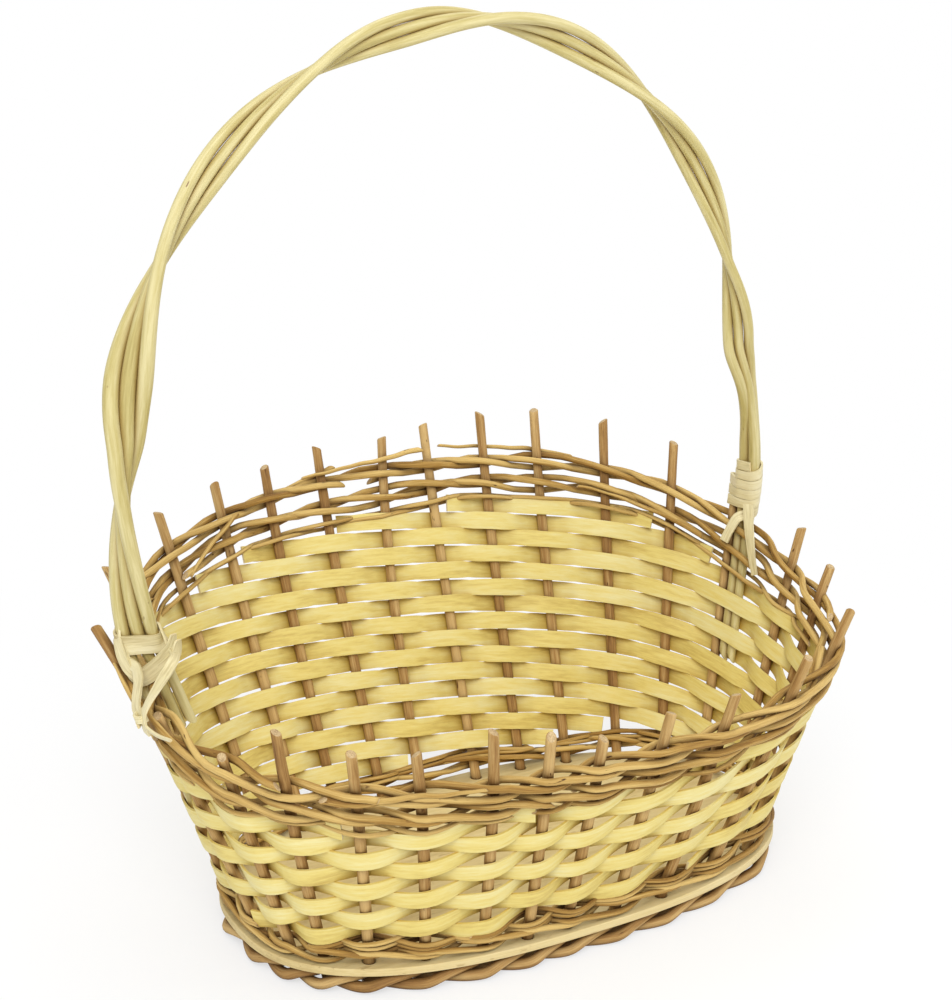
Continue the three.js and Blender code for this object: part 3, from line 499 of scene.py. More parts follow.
def flat_sections(widths, thickness, bevel):
    """Rectangles of different widths with bevelled corners, width along the first direction."""
    w = 0.5
    t = thickness / 2
    half = [(w, bevel - t), (w, t - bevel), (w - bevel, t), (0, t), (bevel - w, t)]
    corners = np.array(half + [(-x, -y) for x, y in half])
    return corners[None] * np.stack([widths, np.ones_like(widths)], axis=-1)[:, None, :]


def linked(name, data):
    """Object of a mesh, a lamp or the like, put into the scene."""
    thing = bpy.data.objects.new(name, data)
    bpy.context.scene.collection.objects.link(thing)
    return thing


def swept(name, points, first_axis, sections, shift, cuts=None):
    """Mesh object of a section swept along a path.

    first_axis gives the section's first direction at each point and sections its corners there.
    The shift is one of colour, and the cuts are the slants of the two ends.
    """
    axes = path_axes(points)
    across = unit(first_axis - axes * (first_axis * axes).sum(axis=-1, keepdims=True))
    lift = np.cross(axes, across)
    count, sides = sections.shape[:2]
    rings = (points[:, None, :] + across[:, None, :] * sections[:, :, :1]
             + lift[:, None, :] * sections[:, :, 1:])
    if cuts:
        for i in (0, 1):
            rings[i] += axes[i] * column(sections[i] @ np.array(cuts[0]))
        for i in (-1, -2):
            rings[i] -= axes[i] * column(sections[i] @ np.array(cuts[1]))
    vertices = rings.reshape(-1, 3)
    faces = []
    for i in range(count - 1):
        for j in range(sides):
            k = (j + 1) % sides
            faces.append((i * sides + j, i * sides + k, (i + 1) * sides + k, (i + 1) * sides + j))
    faces.append(tuple(reversed(range(sides))))
    faces.append(tuple(range((count - 1) * sides, count * sides)))
    mesh = bpy.data.meshes.new(name)
    mesh.from_pydata((vertices * MM).tolist(), [], faces)
    mesh.update()
    map_strip(mesh, lengths_along(points) * MM, sections * MM)
    smooth = [True] * ((count - 1) * sides) + [False, False]
    mesh.polygons.foreach_set("use_smooth", smooth)
    for end_face in (mesh.polygons[-1], mesh.polygons[-2]):
        end_face.material_index = 1
    return mark(linked(name, mesh), shift)


def map_strip(mesh, along, sections):
    """Map of a swept mesh: the length passed and the share of the turn round its section."""
    count, sides = sections.shape[:2]
    coordinates = []
    for i in range(count - 1):
        for j in range(sides):
            low = along[i]
            high = along[i + 1]
            here = j / sides
            there = (j + 1) / sides
            coordinates += [low, here, low, there, high, there, high, here]
    for end, corners in ((0, sections[0][::-1]), (-1, sections[-1])):
        for corner in corners:
            coordinates += [along[end] + corner[0], corner[1] * CUT_GRAIN]
    mesh.uv_layers.new(name="strip").data.foreach_set("uv", coordinates)


def mark(piece, shift):
    """Stores a piece's shift of colour, its tone, and a number that shifts its grain."""
    count = len(piece.data.vertices)
    for name, value in (("tone", shift), ("grain_shift", rng.uniform(0, GRAIN_SHIFT))):
        attribute = piece.data.attributes.new(name, "FLOAT", "POINT")
        attribute.data.foreach_set("value", np.full(count, value, dtype=np.float32))
    return piece


BOARD_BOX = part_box("base_board")


def from_board(place):
    """Place along and across the basket, in metres, of a point counted from the board's middle."""
    return [(low + high) / 2 + length * MM for low, high, length in zip(*BOARD_BOX, place)]


# Move from the origin of the sizes above to the part's own, which puts the board in its place
SHIFT = Matrix.Translation((*from_board((-BOARD_CENTRE[0], -BOARD_CENTRE[1])), 0))


def placed(piece, node, slot, *materials):
    """Puts a piece in the place of its node, with its materials; its slot is not used."""
    piece.data.transform(SHIFT)
    for material in materials:
        piece.data.materials.append(material)
    piece.data.set_sharp_from_angle(angle=SHARP_ANGLE)
    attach(piece, "root")
    if node:
        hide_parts(node)
    return piece


def mirrored_cuts(slope):
    """Slants of a rod's two ends: alike along the first direction, opposed along the second."""
    return slope, (slope[0], -slope[1])


def round_rod(name, points, side, radii, sides, shift, cuts):
    """Round rod with slanting cut ends that have a narrow bevel."""
    along = lengths_along(points)
    room = ROD_BEVEL + ROD_CUT_ROOM * np.max(radii)
    inner = along[(along > room) & (along < along[-1] - room)]
    places = np.concatenate([[0, ROD_BEVEL], inner, [along[-1] - ROD_BEVEL, along[-1]]])
    radii = np.interp(places, along, radii)
    radii[[0, -1]] *= ROD_BEVEL_SHARE
    sections = round_section(sides)[None] * radii[:, None, None]
    path = at_lengths(places, along, points)
    return swept(name, path, at_lengths(places, along, side), sections, shift, cuts)


# Materials


class Nodes:
    """Nodes of a material or a world."""

    def __init__(self, owner):
        owner.use_nodes = True
        self.owner = owner
        self.tree = owner.node_tree
        self.tree.nodes.clear()

    def add(self, kind, inputs=None, **settings):
        node = self.tree.nodes.new(kind)
        for key, value in settings.items():
            setattr(node, key, value)
        for key, value in (inputs or {}).items():
            self.set(node, key, value)
        return node

    def set(self, node, key, value):
        socket = node.inputs[key]
        if isinstance(value, bpy.types.NodeSocket):
            self.tree.links.new(value, socket)
        else:
            socket.default_value = value

    def math(self, operation, a, b=0.0, c=0.0):
        node = self.add("ShaderNodeMath", {0: a, 1: b, 2: c}, operation=operation)
        return node.outputs[0]

    def attribute(self, name):
        return self.add("ShaderNodeAttribute", attribute_name=name).outputs["Fac"]

    def noise(self, vector, scale, detail, roughness=0.5):
        inputs = {"Vector": vector, "Scale": scale, "Detail": detail, "Roughness": roughness}
        return self.add("ShaderNodeTexNoise", inputs).outputs["Fac"]

    def stretched_noise(self, stretch, scale, detail, roughness=0.5):
        """Noise in the object's own space, finer along the axes with a larger stretch."""
        place = self.add("ShaderNodeTexCoord").outputs["Object"]
        mapping = self.add("ShaderNodeMapping", {"Vector": place, "Scale": stretch})
        return self.noise(mapping.outputs["Vector"], scale, detail, roughness)

    def ramp(self, factor, stops):
        node = self.add("ShaderNodeValToRGB", {"Fac": factor})
        elements = node.color_ramp.elements
        while len(elements) < len(stops):
            elements.new(0.5)
        for element, (place, colour) in zip(elements, stops):
            element.position = place
            element.color = (*colour, 1)
        return node.outputs["Color"]

    def mask(self, factor, least, edge):
        """0 below the least value and 1 above the edge that follows it."""
        return self.ramp(factor, [(least, (0, 0, 0)), (least + edge, (1, 1, 1))])

    def blend(self, factor, under, over):
        """A linked colour with a fixed colour over it."""
        inputs = {"Factor": factor, "A": under, "B": (*over, 1)}
        return self.add("ShaderNodeMix", inputs, data_type="RGBA").outputs["Result"]

    def strip(self, along, around):
        """Coordinates from the length, times along, and the place round a piece, times around."""
        uv = self.add("ShaderNodeUVMap", uv_map="strip").outputs["UV"]
        parts = self.add("ShaderNodeSeparateXYZ", {"Vector": uv})
        x = self.math("MULTIPLY", parts.outputs["X"], along)
        turn = self.math("MULTIPLY", parts.outputs["Y"], FULL_TURN)
        y = self.math("MULTIPLY", self.math("COSINE", turn), around)
        z = self.math("MULTIPLY", self.math("SINE", turn), around)
        shift = self.attribute("grain_shift")
        inputs = {"X": self.math("ADD", x, shift), "Y": y, "Z": self.math("ADD", z, shift)}
        return self.add("ShaderNodeCombineXYZ", inputs).outputs["Vector"]

    def seen_directly(self):
        """1 for rays that show the surroundings themselves, and 0 for those that only light."""
        path = self.add("ShaderNodeLightPath").outputs
        mirrored = self.math("MAXIMUM", path["Is Glossy Ray"], path["Is Transmission Ray"])
        return self.math("MAXIMUM", path["Is Camera Ray"], mirrored)

    def output(self, kind, shader):
        node = self.add(kind)
        self.tree.links.new(shader, node.inputs["Surface"])
        return self.owner

    def finish(self, colour, roughness, height, bump, coat=0.0, gloss=0.5):
        inputs = {"Height": height, "Strength": bump, "Distance": BUMP_DEPTH}
        bumped = self.add("ShaderNodeBump", inputs)
        inputs = {"Base Color": colour, "Roughness": roughness, "Normal": bumped.outputs["Normal"],
                  "Coat Weight": coat, "Coat Roughness": COAT_ROUGHNESS, "Specular IOR Level": gloss}
        shader = self.add("ShaderNodeBsdfPrincipled", inputs)
        return self.output("ShaderNodeOutputMaterial", shader.outputs["BSDF"])


def wood_strip(name, dark, middle, light, fine, roughness, spots=0.0, spot_colour=None, coat=0.0,
               bump=0.5, blotch=0.5, crevice_shade=None, gloss=0.5):
    """Wood of a rod, splint or cane: grain along it, colour shifts, knots, painted shade between
    pieces.
    """
    n = Nodes(bpy.data.materials.new(name))
    grain = n.noise(n.strip(along=30, around=1.6), scale=fine, detail=5, roughness=0.6)
    slow = n.noise(n.strip(along=14, around=0.5), scale=1.3, detail=3)
    fibre = n.noise(n.strip(along=60, around=9), scale=3.0, detail=3, roughness=0.7)
    level = n.math("MULTIPLY_ADD", grain, 0.55, n.math("MULTIPLY", slow, blotch))
    level = n.math("MULTIPLY_ADD", fibre, 0.25, n.math("SUBTRACT", level, 0.15))
    level = n.math("ADD", level, n.attribute("tone"))
    colour = n.ramp(level, [(0.25, dark), (0.5, middle), (0.75, light)])
    if spots > 0:
        knots = n.noise(n.strip(along=110, around=0.9), scale=1.0, detail=2)
        colour = n.blend(n.mask(knots, least=1 - spots, edge=0.05), colour, spot_colour)
    # Painted shade: the colour darkens towards a shade colour where neighbouring pieces are near
    if crevice_shade:
        open_share = n.add("ShaderNodeAmbientOcclusion", {"Distance": CREVICE_SHADE_DEPTH}).outputs["AO"]
        closed = n.math("MULTIPLY", n.math("SUBTRACT", 1.0, open_share), CREVICE_SHADE_STRENGTH)
        colour = n.blend(n.math("MINIMUM", closed, 1.0), colour, crevice_shade)
    rough = n.math("MULTIPLY_ADD", grain, 0.25, roughness)
    height = n.math("MULTIPLY_ADD", fibre, 0.6, grain)
    return n.finish(colour, rough, height, bump, coat, gloss)


def cut_wood(name, edge, core):
    """Cut end of a rod: rough wood with darker pores."""
    n = Nodes(bpy.data.materials.new(name))
    place = n.add("ShaderNodeTexCoord").outputs["Object"]
    fine = n.noise(place, scale=1500, detail=4, roughness=0.6)
    slow = n.noise(place, scale=300, detail=2)
    level = n.math("MULTIPLY_ADD", fine, 0.7, n.math("MULTIPLY", slow, 0.4))
    colour = n.ramp(level, [(0.35, core), (0.65, edge)])
    return n.finish(colour, roughness=0.8, height=fine, bump=0.6)


def board_wood(name):
    """Pale board: straight grain along the basket, faint bands and small dark flecks."""
    n = Nodes(bpy.data.materials.new(name))
    grain = n.stretched_noise((6, 90, 400), scale=3.0, detail=6, roughness=0.65)
    bands = n.stretched_noise((2, 18, 18), scale=2.0, detail=3)
    flecks = n.stretched_noise((40, 260, 260), scale=2.0, detail=2)
    level = n.math("MULTIPLY_ADD", bands, 0.5, n.math("MULTIPLY", grain, 0.5))
    stops = [(0.3, (0.50, 0.37, 0.15)), (0.5, (0.66, 0.52, 0.24)), (0.7, (0.76, 0.64, 0.35))]
    faint = n.math("MULTIPLY", n.mask(flecks, least=0.66, edge=0.06), 0.5)
    colour = n.blend(faint, n.ramp(level, stops), (0.35, 0.22, 0.08))
    rough = n.math("MULTIPLY_ADD", grain, 0.2, 0.55)
    return n.finish(colour, rough, height=grain, bump=0.35)


# The shade colours given below are painted shade, laid where neighbouring pieces are near
BARK = {"spots": 0.3, "spot_colour": (0.08, 0.03, 0.008), "bump": 0.7, "gloss": 0.25,
        "crevice_shade": (0.10, 0.04, 0.006)}
STAKE_WOOD = wood_strip("stake_bark", (0.13, 0.052, 0.012), (0.38, 0.21, 0.065),
                        (0.62, 0.42, 0.17), fine=2.2, roughness=0.55, blotch=0.7, **BARK)
ROD_WOOD = wood_strip("rod_bark", (0.14, 0.055, 0.01), (0.42, 0.24, 0.055), (0.70, 0.49, 0.17),
                      fine=2.4, roughness=0.5, blotch=0.75, **BARK)
SPLINT_WOOD = wood_strip("splint_wood", (0.54, 0.38, 0.085), (0.75, 0.61, 0.185),
                         (0.80, 0.72, 0.35), fine=2.6, roughness=0.45, bump=0.4, coat=0.1,
                         blotch=0.6, crevice_shade=(0.53, 0.32, 0.04), gloss=0.35)
HANDLE_WOOD = wood_strip("peeled_wood", (0.30, 0.22, 0.055), (0.51, 0.425, 0.15),
                         (0.69, 0.61, 0.31), fine=1.8, roughness=0.4, spots=0.27,
                         spot_colour=(0.22, 0.12, 0.035), bump=0.35, coat=0.2, blotch=0.7,
                         crevice_shade=(0.38, 0.26, 0.075))
CANE_WOOD = wood_strip("cane_wood", (0.44, 0.34, 0.14), (0.74, 0.65, 0.37), (0.87, 0.80, 0.55),
                       fine=2.6, roughness=0.4, bump=0.5, coat=0.2)
CUT_WOOD = cut_wood("cut_wood", (0.62, 0.46, 0.24), (0.30, 0.18, 0.08))
PALE_CUT = cut_wood("pale_cut_wood", (0.80, 0.68, 0.38), (0.55, 0.40, 0.18))
BOARD_WOOD = board_wood("board_wood")

# Slot, wood and wood of the cut ends
WILLOW_ROD = ("willow_rod", ROD_WOOD, CUT_WOOD)
CANE = ("cane", CANE_WOOD, PALE_CUT)


# Board


def board_piece():
    """Thin panel with a softened edge and a hole for each stake."""
    curve = bpy.data.curves.new("board_outline", "CURVE")
    curve.dimensions = "2D"
    curve.fill_mode = "BOTH"
    curve.bevel_depth = BOARD_EDGE_ROUNDING * MM
    curve.bevel_resolution = BOARD_EDGE_STEPS
    curve.extrude = (BOARD_THICKNESS / 2 - BOARD_EDGE_ROUNDING) * MM
    angles = FULL_TURN * np.arange(BOARD_SIDES) / BOARD_SIDES
    half_length = BOARD_HALF_LENGTH - BOARD_EDGE_ROUNDING
    half_width = BOARD_HALF_WIDTH - BOARD_EDGE_ROUNDING
    x, y, _, _ = oval(angles, half_length, half_length, half_width, BOARD_SQUARENESS)
    loops = [np.stack([x + BOARD_CENTRE[0], y + BOARD_CENTRE[1]], axis=-1)]
    hole = round_section(HOLE_SIDES) * (STAKE_RADIUS + HOLE_CLEARANCE + BOARD_EDGE_ROUNDING)
    for stake in range(STAKE_COUNT):
        loops.append(foot_of_wall(stake)[:2] + hole)
    for loop in loops:
        spline = curve.splines.new("POLY")
        spline.points.add(len(loop) - 1)
        for point, (x, y) in zip(spline.points, loop):
            point.co = (x * MM, y * MM, 0, 1)
        spline.use_cyclic_u = True
    holder = linked("board_outline", curve)
    depsgraph = bpy.context.evaluated_depsgraph_get()
    mesh = bpy.data.meshes.new_from_object(holder.evaluated_get(depsgraph))
    mesh.name = "board"
    bpy.data.objects.remove(holder)
    bpy.data.curves.remove(curve)
    mesh.transform(Matrix.Translation((0, 0, (BOARD_BOTTOM + BOARD_THICKNESS / 2) * MM)))
    return mark(linked("board", mesh), 0)


# Stakes


def foot_point(stake, outward, height):
    """Place under the board at a stake number, moved outward across the line of the holes."""
    point, _, out, _ = wall_frame(stake, BOARD_TOP)
    result = point + unit(np.array([out[0], out[1], 0])) * outward
    result[2] = height
    return result


def stake_piece(stake):
    """Stake from its cut tip down the wall, through the board and round into the foot border."""
    point, up, outward, onward = wall_frame(stake, BOARD_TOP)
    tip = rim_of_wall(stake) + up * TIP_HEIGHTS[stake]
    lean = onward * TIP_ONWARD[stake] + outward * TIP_OUTWARD[stake]
    parts = np.linspace(1, 0, STAKE_STEPS)
    corners = [mix(point, tip, part) + lean * part ** 3 for part in parts]
    under = np.array([point[0], point[1], TAIL_HIGH])
    way = unit(foot_point(stake + TAIL_STEPS[0], TAIL_OUTWARD[0], TAIL_HIGH) - under)
    for turn in np.linspace(0, math.pi / 2, BEND_STEPS):
        bend = under + way * STAKE_BEND_RADIUS * (1 - math.cos(turn))
        bend[2] += STAKE_BEND_RADIUS * (1 - math.sin(turn))
        corners.append(bend)
    reach = rng.uniform(*TAIL_REACH_RANGE)
    for step, out, drop in zip(TAIL_STEPS, TAIL_OUTWARD, TAIL_DROP):
        corners.append(foot_point(stake + step, out * reach, mix(TAIL_HIGH, TAIL_LOW, drop)))
    corners = np.array(corners)
    along = lengths_along(corners)
    count = math.ceil(along[-1] / STAKE_PATH_STEP) + 1
    _, path = smooth_path(corners, along, count, STAKE_EASING)
    along = lengths_along(path)
    places = [0, TAPER_FROM_TIP, along[-1] - TAPER_TO_TAIL, along[-1]]
    sizes = [STAKE_TIP_RADIUS, STAKE_RADIUS, STAKE_RADIUS, STAKE_RADIUS * TAIL_END_SHARE]
    radii = np.interp(along, places, sizes) * (1 + wobble(along, *WAVES["stake"]))
    side = np.tile(outward, (len(path), 1))
    turned = rng.uniform(0, FULL_TURN)
    slope = STAKE_CUT_SLOPE * rng.uniform(*CUT_SLOPE_RANGE)
    cuts = ((slope * math.cos(turned), slope * math.sin(turned)), STAKE_TAIL_CUT)
    name = f"visual_stake_{stake + 1:02d}"
    return round_rod(name, path, side, radii, STAKE_SIDES, tone("stake"), cuts)


# Weave


def bundle_width(rods_in_wall):
    """Width of a foot's stake and rods in the wall, counted from the middle of the stake."""
    return rods_in_wall * (2 * HANDLE_FOOT_RADIUS + SEAT_GAP) + STAKE_RADIUS + BUNDLE_MARGIN


def bundle_span(stake, height):
    """Stake numbers before and after a stake that the weave passes together with it."""
    local = stake % STAKE_COUNT
    tail_end = rim_of_wall(local)[2] - HANDLE_TAIL_BELOW_RIM
    if height <= tail_end - SPLINT_PITCH:
        return 0, 0
    if local == HANDLE_RIGHT_STAKE:
        return 0, bundle_width(RODS_IN_WALL_RIGHT) / gap_at(stake, height)
    if local == HANDLE_LEFT_STAKE:
        return bundle_width(RODS_IN_WALL_LEFT) / gap_at(stake - 1, height), 0
    return 0, 0


def weave_places(first, last, height_at, steps):
    """Stake numbers and phases along a row; a phase counts stakes and rests at a bundle."""
    stakes = []
    phases = []
    bundle = np.arange(1, BUNDLE_STEPS + 1) / BUNDLE_STEPS
    for k in range(math.floor(first) - 1, math.ceil(last) + 2):
        before, after = bundle_span(k, height_at(k))
        next_before, _ = bundle_span(k + 1, height_at(k + 1))
        held = [k]
        if before > 0:
            held = [k - before * part for part in bundle[::-1]] + held
        if after > 0:
            held += [k + after * part for part in bundle]
        stakes += held
        phases += [k] * len(held)
        for i in range(1, steps):
            stakes.append(mix(k + after, k + 1 - next_before, i / steps))
            phases.append(k + i / steps)
    stakes = np.array(stakes, dtype=float)
    phases = np.array(phases, dtype=float)
    keep = (phases >= first - SMALL) & (phases <= last + SMALL)
    return stakes[keep], phases[keep]


def foot_middle(stake):
    """Middle height of the foot rods, a little higher where the wall leans out."""
    return FOOT_CENTRE - FOOT_OFFSET * wall_frame(stake, BOARD_TOP)[2][2]


def foot_rods_top(stake):
    return foot_middle(stake) + FOOT_LIFT / 2 + FOOT_ROD_RADIUS


def row_height(row, stake):
    """Height of a row's middle at a stake number that runs on round after round."""
    sway = np.sin(FULL_TURN * (stake - STEEPEST_STAKE) / STAKE_COUNT)
    sway_at_start = math.sin(-FULL_TURN * STEEPEST_STAKE / STAKE_COUNT)
    rounds = stake / STAKE_COUNT + ROW_SWAY * (sway - sway_at_start) / FULL_TURN
    return BOARD_TOP + FIRST_ROW_ABOVE_BOARD + SPLINT_PITCH * (row - SPLINTS_TOGETHER * rounds)


def row_fits(row, stake):
    """Whether a row clears the foot rods and the border all along one stake's stretch."""
    half = SPLINT_WIDTH / 2 + SEAT_GAP
    for place in (stake - FIT_REACH, stake, stake + FIT_REACH):
        height = row_height(row, place)
        if height - half <= foot_rods_top(place) or height + half >= border_bottom(place):
            return False
    return True


def spans(first, last, holds):
    """First and last stake of each stretch of stakes for which something holds."""
    found = []
    start = None
    for k in range(first, last + 2):
        inside = k <= last and holds(k)
        if inside and start is None:
            start = k
        if not inside and start is not None:
            found.append((start, k - 1))
            start = None
    return found


def splint_runs():
    """Row number, first stake and last stake of each splint between foot rods and border."""
    highest = RIM_HEIGHT + RIM_RISE + RIM_CUP
    rounds = math.ceil(highest / (SPLINT_PITCH * SPLINTS_TOGETHER)) + 1
    reach = rounds * STAKE_COUNT
    runs = []
    for row in range(SPLINTS_TOGETHER):
        for first, last in spans(-reach, reach, lambda stake: row_fits(row, stake)):
            if last - first >= LEAST_STAKES - 1:
                runs.append((row, first, last))
    return runs


def lowest_nearby(values):
    """Values round the basket brought down to their lowest neighbour, then smoothed."""
    reach = range(-1, 2)
    lowest = np.min([np.roll(values, shift) for shift in reach], axis=0)
    return np.mean([np.roll(lowest, shift) for shift in reach], axis=0)


def rooms():
    """Room under the border and over the foot rods that the splints leave, at each half stake."""
    places = np.arange(2 * STAKE_COUNT) / 2
    lowest = np.full(len(places), np.inf)
    highest = np.full(len(places), -np.inf)
    for row, first, last in RUNS:
        for k in range(2 * first - 1, 2 * last + 2):
            i = k % len(places)
            height = row_height(row, k / 2)
            lowest[i] = min(lowest[i], height - SPLINT_WIDTH_AT_STAKES / 2)
            highest[i] = max(highest[i], height + SPLINT_WIDTH_AT_STAKES / 2)
    under_border = np.maximum(border_bottom(places) - highest, 0)
    over_foot = np.maximum(lowest - [foot_rods_top(stake) for stake in places], 0)
    return lowest_nearby(under_border), lowest_nearby(over_foot)


RUNS = splint_runs()
ROOM_UNDER_BORDER, ROOM_OVER_FOOT = rooms()


def room_at(room, stake):
    places = np.arange(len(room) + 1) / 2
    return np.interp(stake % STAKE_COUNT, places, np.append(room, room[0]))


def splint_piece(number, run):
    """Flat splint that passes the stakes on alternate sides, a little narrower between them."""
    row, first, last = run
    stakes, phases = weave_places(first - SPLINT_END, last + SPLINT_END,
                                  lambda stake: row_height(row, stake), SPLINT_STEPS)
    swing = np.cos(math.pi * (phases + row))
    along = stakes * SPLINT_STRETCH
    heights = row_height(row, stakes) + wobble(along, *WAVES["splint height"])
    point, up, outward, _ = wall_frame(stakes, heights)
    centres = point + outward * column(SPLINT_OFFSET * swing)
    apart = np.clip(np.abs(swing) / SPLINT_WAIST_SHARE, 0, 1)
    widths = mix(SPLINT_WAIST, SPLINT_WIDTH_AT_STAKES, gentle(apart))
    widths = widths * (1 + wobble(along, *WAVES["splint"]))
    sections = flat_sections(widths, SPLINT_THICKNESS, SPLINT_EDGE / SPLINT_WIDTH)
    return swept(f"visual_splint_{number:02d}", centres, up, sections, tone("splint"))


def woven_rod(name, first, last, middle, swing, lift, offset, radius):
    """Round rod woven along the wall; swing and lift give its side and height for a phase."""
    stakes, phases = weave_places(first, last, middle, ROD_STEPS)
    along = stakes * ROD_STRETCH
    heights = np.array([middle(stake) for stake in stakes]) + lift(phases)
    heights = heights + wobble(along, *WAVES["rod height"])
    point, up, outward, _ = wall_frame(stakes, heights)
    centres = point + outward * column(offset * swing(phases))
    radii = radius * (1 + wobble(along, *WAVES["rod"]))
    return round_rod(name, centres, up, radii, ROD_SIDES, tone("rod"), mirrored_cuts(ROD_CUT))


def wale_swing(phase):
    """Outside for two stakes, inside at the third."""
    turn = np.mod(phase, WALE_RODS)
    return np.where(turn < 1, 1, np.cos(math.pi * (turn - 1)))


def wale_lift(phase):
    """Low on the way out and high on the way in."""
    return np.interp(np.mod(phase, WALE_RODS), WALE_LIFT_TURNS, WALE_LIFTS)


def wale_piece(name, start, number, middle, lift, offset, radius):
    """One rod of a round of three-rod wale."""
    return woven_rod(name, start, start + STAKE_COUNT - WALE_END, middle,
                     lambda phase: wale_swing(phase - number),
                     lambda phase: wale_lift(phase - number) * lift / 2, offset, radius)


def foot_rod_piece(number):
    def middle(stake):
        spread = FOOT_SPREAD[number] * room_at(ROOM_OVER_FOOT, stake)
        return foot_middle(stake) + min(spread, MOST_SPREAD)

    return wale_piece(f"visual_foot_rod_{number + 1:02d}", FOOT_ROD_START[number], number, middle,
                      FOOT_LIFT, FOOT_OFFSET, FOOT_ROD_RADIUS)


def border_piece(index):
    """Rod of the top border."""
    round_number, number = divmod(index, WALE_RODS)

    def middle(stake):
        spread = BORDER_SPREAD[index] * room_at(ROOM_UNDER_BORDER, stake)
        lowest = border_bottom(stake) - min(spread, MOST_SPREAD)
        return lowest + BORDER_ROUND_HEIGHT * (round_number + 0.5)

    return wale_piece(f"visual_border_{index + 1:02d}", BORDER_ROD_START[index], number, middle,
                      BORDER_LIFT, BORDER_OFFSET, BORDER_ROD_RADIUS)


def strand_piece(name, first, last, middle, turn):
    """Thin split rod that passes the stakes on alternate sides."""
    return woven_rod(name, first - STRAND_BEFORE, last + STRAND_BEYOND, middle,
                     lambda phase: np.cos(math.pi * (phase + turn)), lambda phase: 0,
                     STAKE_RADIUS + STRAND_RADIUS + ROD_CLEARANCE, STRAND_RADIUS)


def foot_strand_middle(share):
    """Height, by stake number, of a strand that lies above the foot rods."""
    return lambda stake: foot_rods_top(stake) + share * room_at(ROOM_OVER_FOOT, stake)


def border_strand_middle(share):
    """Height, by stake number, of a strand that lies below the border."""
    return lambda stake: (border_bottom(stake) - STRAND_RADIUS
                          - share * room_at(ROOM_UNDER_BORDER, stake))


def place_strands(kind, room, middle_at, shares):
    """Thin strands at shares of a room, wherever it is wide."""
    wide = spans(0, STAKE_COUNT - 1, lambda stake: room_at(room, stake) > STRAND_LEAST_ROOM)
    for k, (first, last) in enumerate(wide):
        for j, share in enumerate(shares):
            name = f"visual_{kind}_strand_{k + 1}_{j + 1}"
            strand = strand_piece(name, first, last, middle_at(share), j)
            placed(strand, None, *WILLOW_ROD)


def loose_end(number, first, last, start_above, end_above, offset):
    """End of a thin rod that has sprung out of the border."""
    stakes = np.linspace(first, last, LOOSE_STEPS)
    part = (stakes - first) / (last - first)
    heights = rim_of_wall(stakes)[:, 2] + mix(start_above, end_above, part)
    point, up, outward, _ = wall_frame(stakes, heights)
    along = stakes * ROD_STRETCH
    centres = point + outward * column(offset + wobble(along, *WAVES["loose outward"]))
    centres = centres + up * column(wobble(along, *WAVES["loose upward"]))
    radii = mix(LOOSE_TIP_RADIUS, LOOSE_ROOT_RADIUS, part)
    name = f"visual_loose_end_{number + 1}"
    return round_rod(name, centres, up, radii, ROD_SIDES, tone("loose"), mirrored_cuts(LOOSE_CUT))


# Handle


def arch_point(turn):
    x, y, _, _ = oval(turn, 1, 1, 1, HANDLE_ROUNDNESS)
    height = mix(HANDLE_SPRING_HEIGHT, HANDLE_HEIGHT, y)
    return np.array([HANDLE_CENTRE_X + HANDLE_HALF_SPAN * x, HANDLE_TOP_Y, height])


def handle_foot(side):
    """Stake, side, rods in the wall and heights of the rim and the rods' seat at a handle's end."""
    stake = HANDLE_RIGHT_STAKE if side > 0 else HANDLE_LEFT_STAKE
    rim = rim_of_wall(stake)[2]
    seat_top = rim + BORDER_HALF_HEIGHT + HANDLE_SEAT_ABOVE_BORDER
    rods_in_wall = RODS_IN_WALL_RIGHT if side > 0 else RODS_IN_WALL_LEFT
    return {"stake": stake, "side": side, "rim": rim, "seat_top": seat_top, "rods": rods_in_wall}


def beside_stake(foot, along, outward, height):
    """Place on the wall at a distance along it from a foot's stake, with its directions."""
    stake = foot["stake"]
    gap = gap_at(stake if along > 0 else stake - 1, height)
    point, up, out, onward = wall_frame(stake + along / gap, height)
    return point + out * outward, up, out, onward


def seat_distance(seat, radius):
    return STAKE_RADIUS + SEAT_GAP + radius + seat * (2 * radius + SEAT_GAP)


def seat_of(foot, slot):
    return slot if foot["side"] > 0 else HANDLE_RODS - 1 - slot


def handle_line():
    """Middle line of the handle from the right foot over the arch to the left foot."""
    def leg(side, spring, bow):
        foot = handle_foot(side)
        if side > 0:
            start = beside_stake(foot, seat_distance(1, HANDLE_FOOT_RADIUS), 0, foot["seat_top"])[0]
        else:
            start = beside_stake(foot, -LEFT_BAND_ALONG, -LEFT_BAND_INWARD,
                                 foot["rim"] + LEFT_BAND_ABOVE_RIM)[0]
        points = []
        for part in np.arange(LEG_STEPS) / LEG_STEPS:
            point = mix(start, spring, part)
            point[0] += side * bow * (1 - (2 * part - 1) ** 2)
            points.append(point)
        return points

    points = leg(1, arch_point(0), HANDLE_LEG_BOW_RIGHT)
    points += [arch_point(turn) for turn in np.linspace(0, math.pi, ARCH_STEPS + 1)]
    points += leg(-1, arch_point(math.pi), HANDLE_LEG_BOW_LEFT)[::-1]
    return np.array(points)


def band_turn(share):
    half_turns = np.interp(share, TWIST_SHARES, TWIST_HALF_TURNS)
    return TWIST_FACING - math.pi * half_turns


def bundle_offset(slot, radius, onward, outward):
    """Place of a rod in the bundle at the right foot: two side by side, the last outside them."""
    if slot == HANDLE_RODS - 1:
        return outward * BUNDLE_DEPTH * radius - onward * (radius + SEAT_GAP / 2)
    return onward * (slot - 1) * (2 * radius + SEAT_GAP)


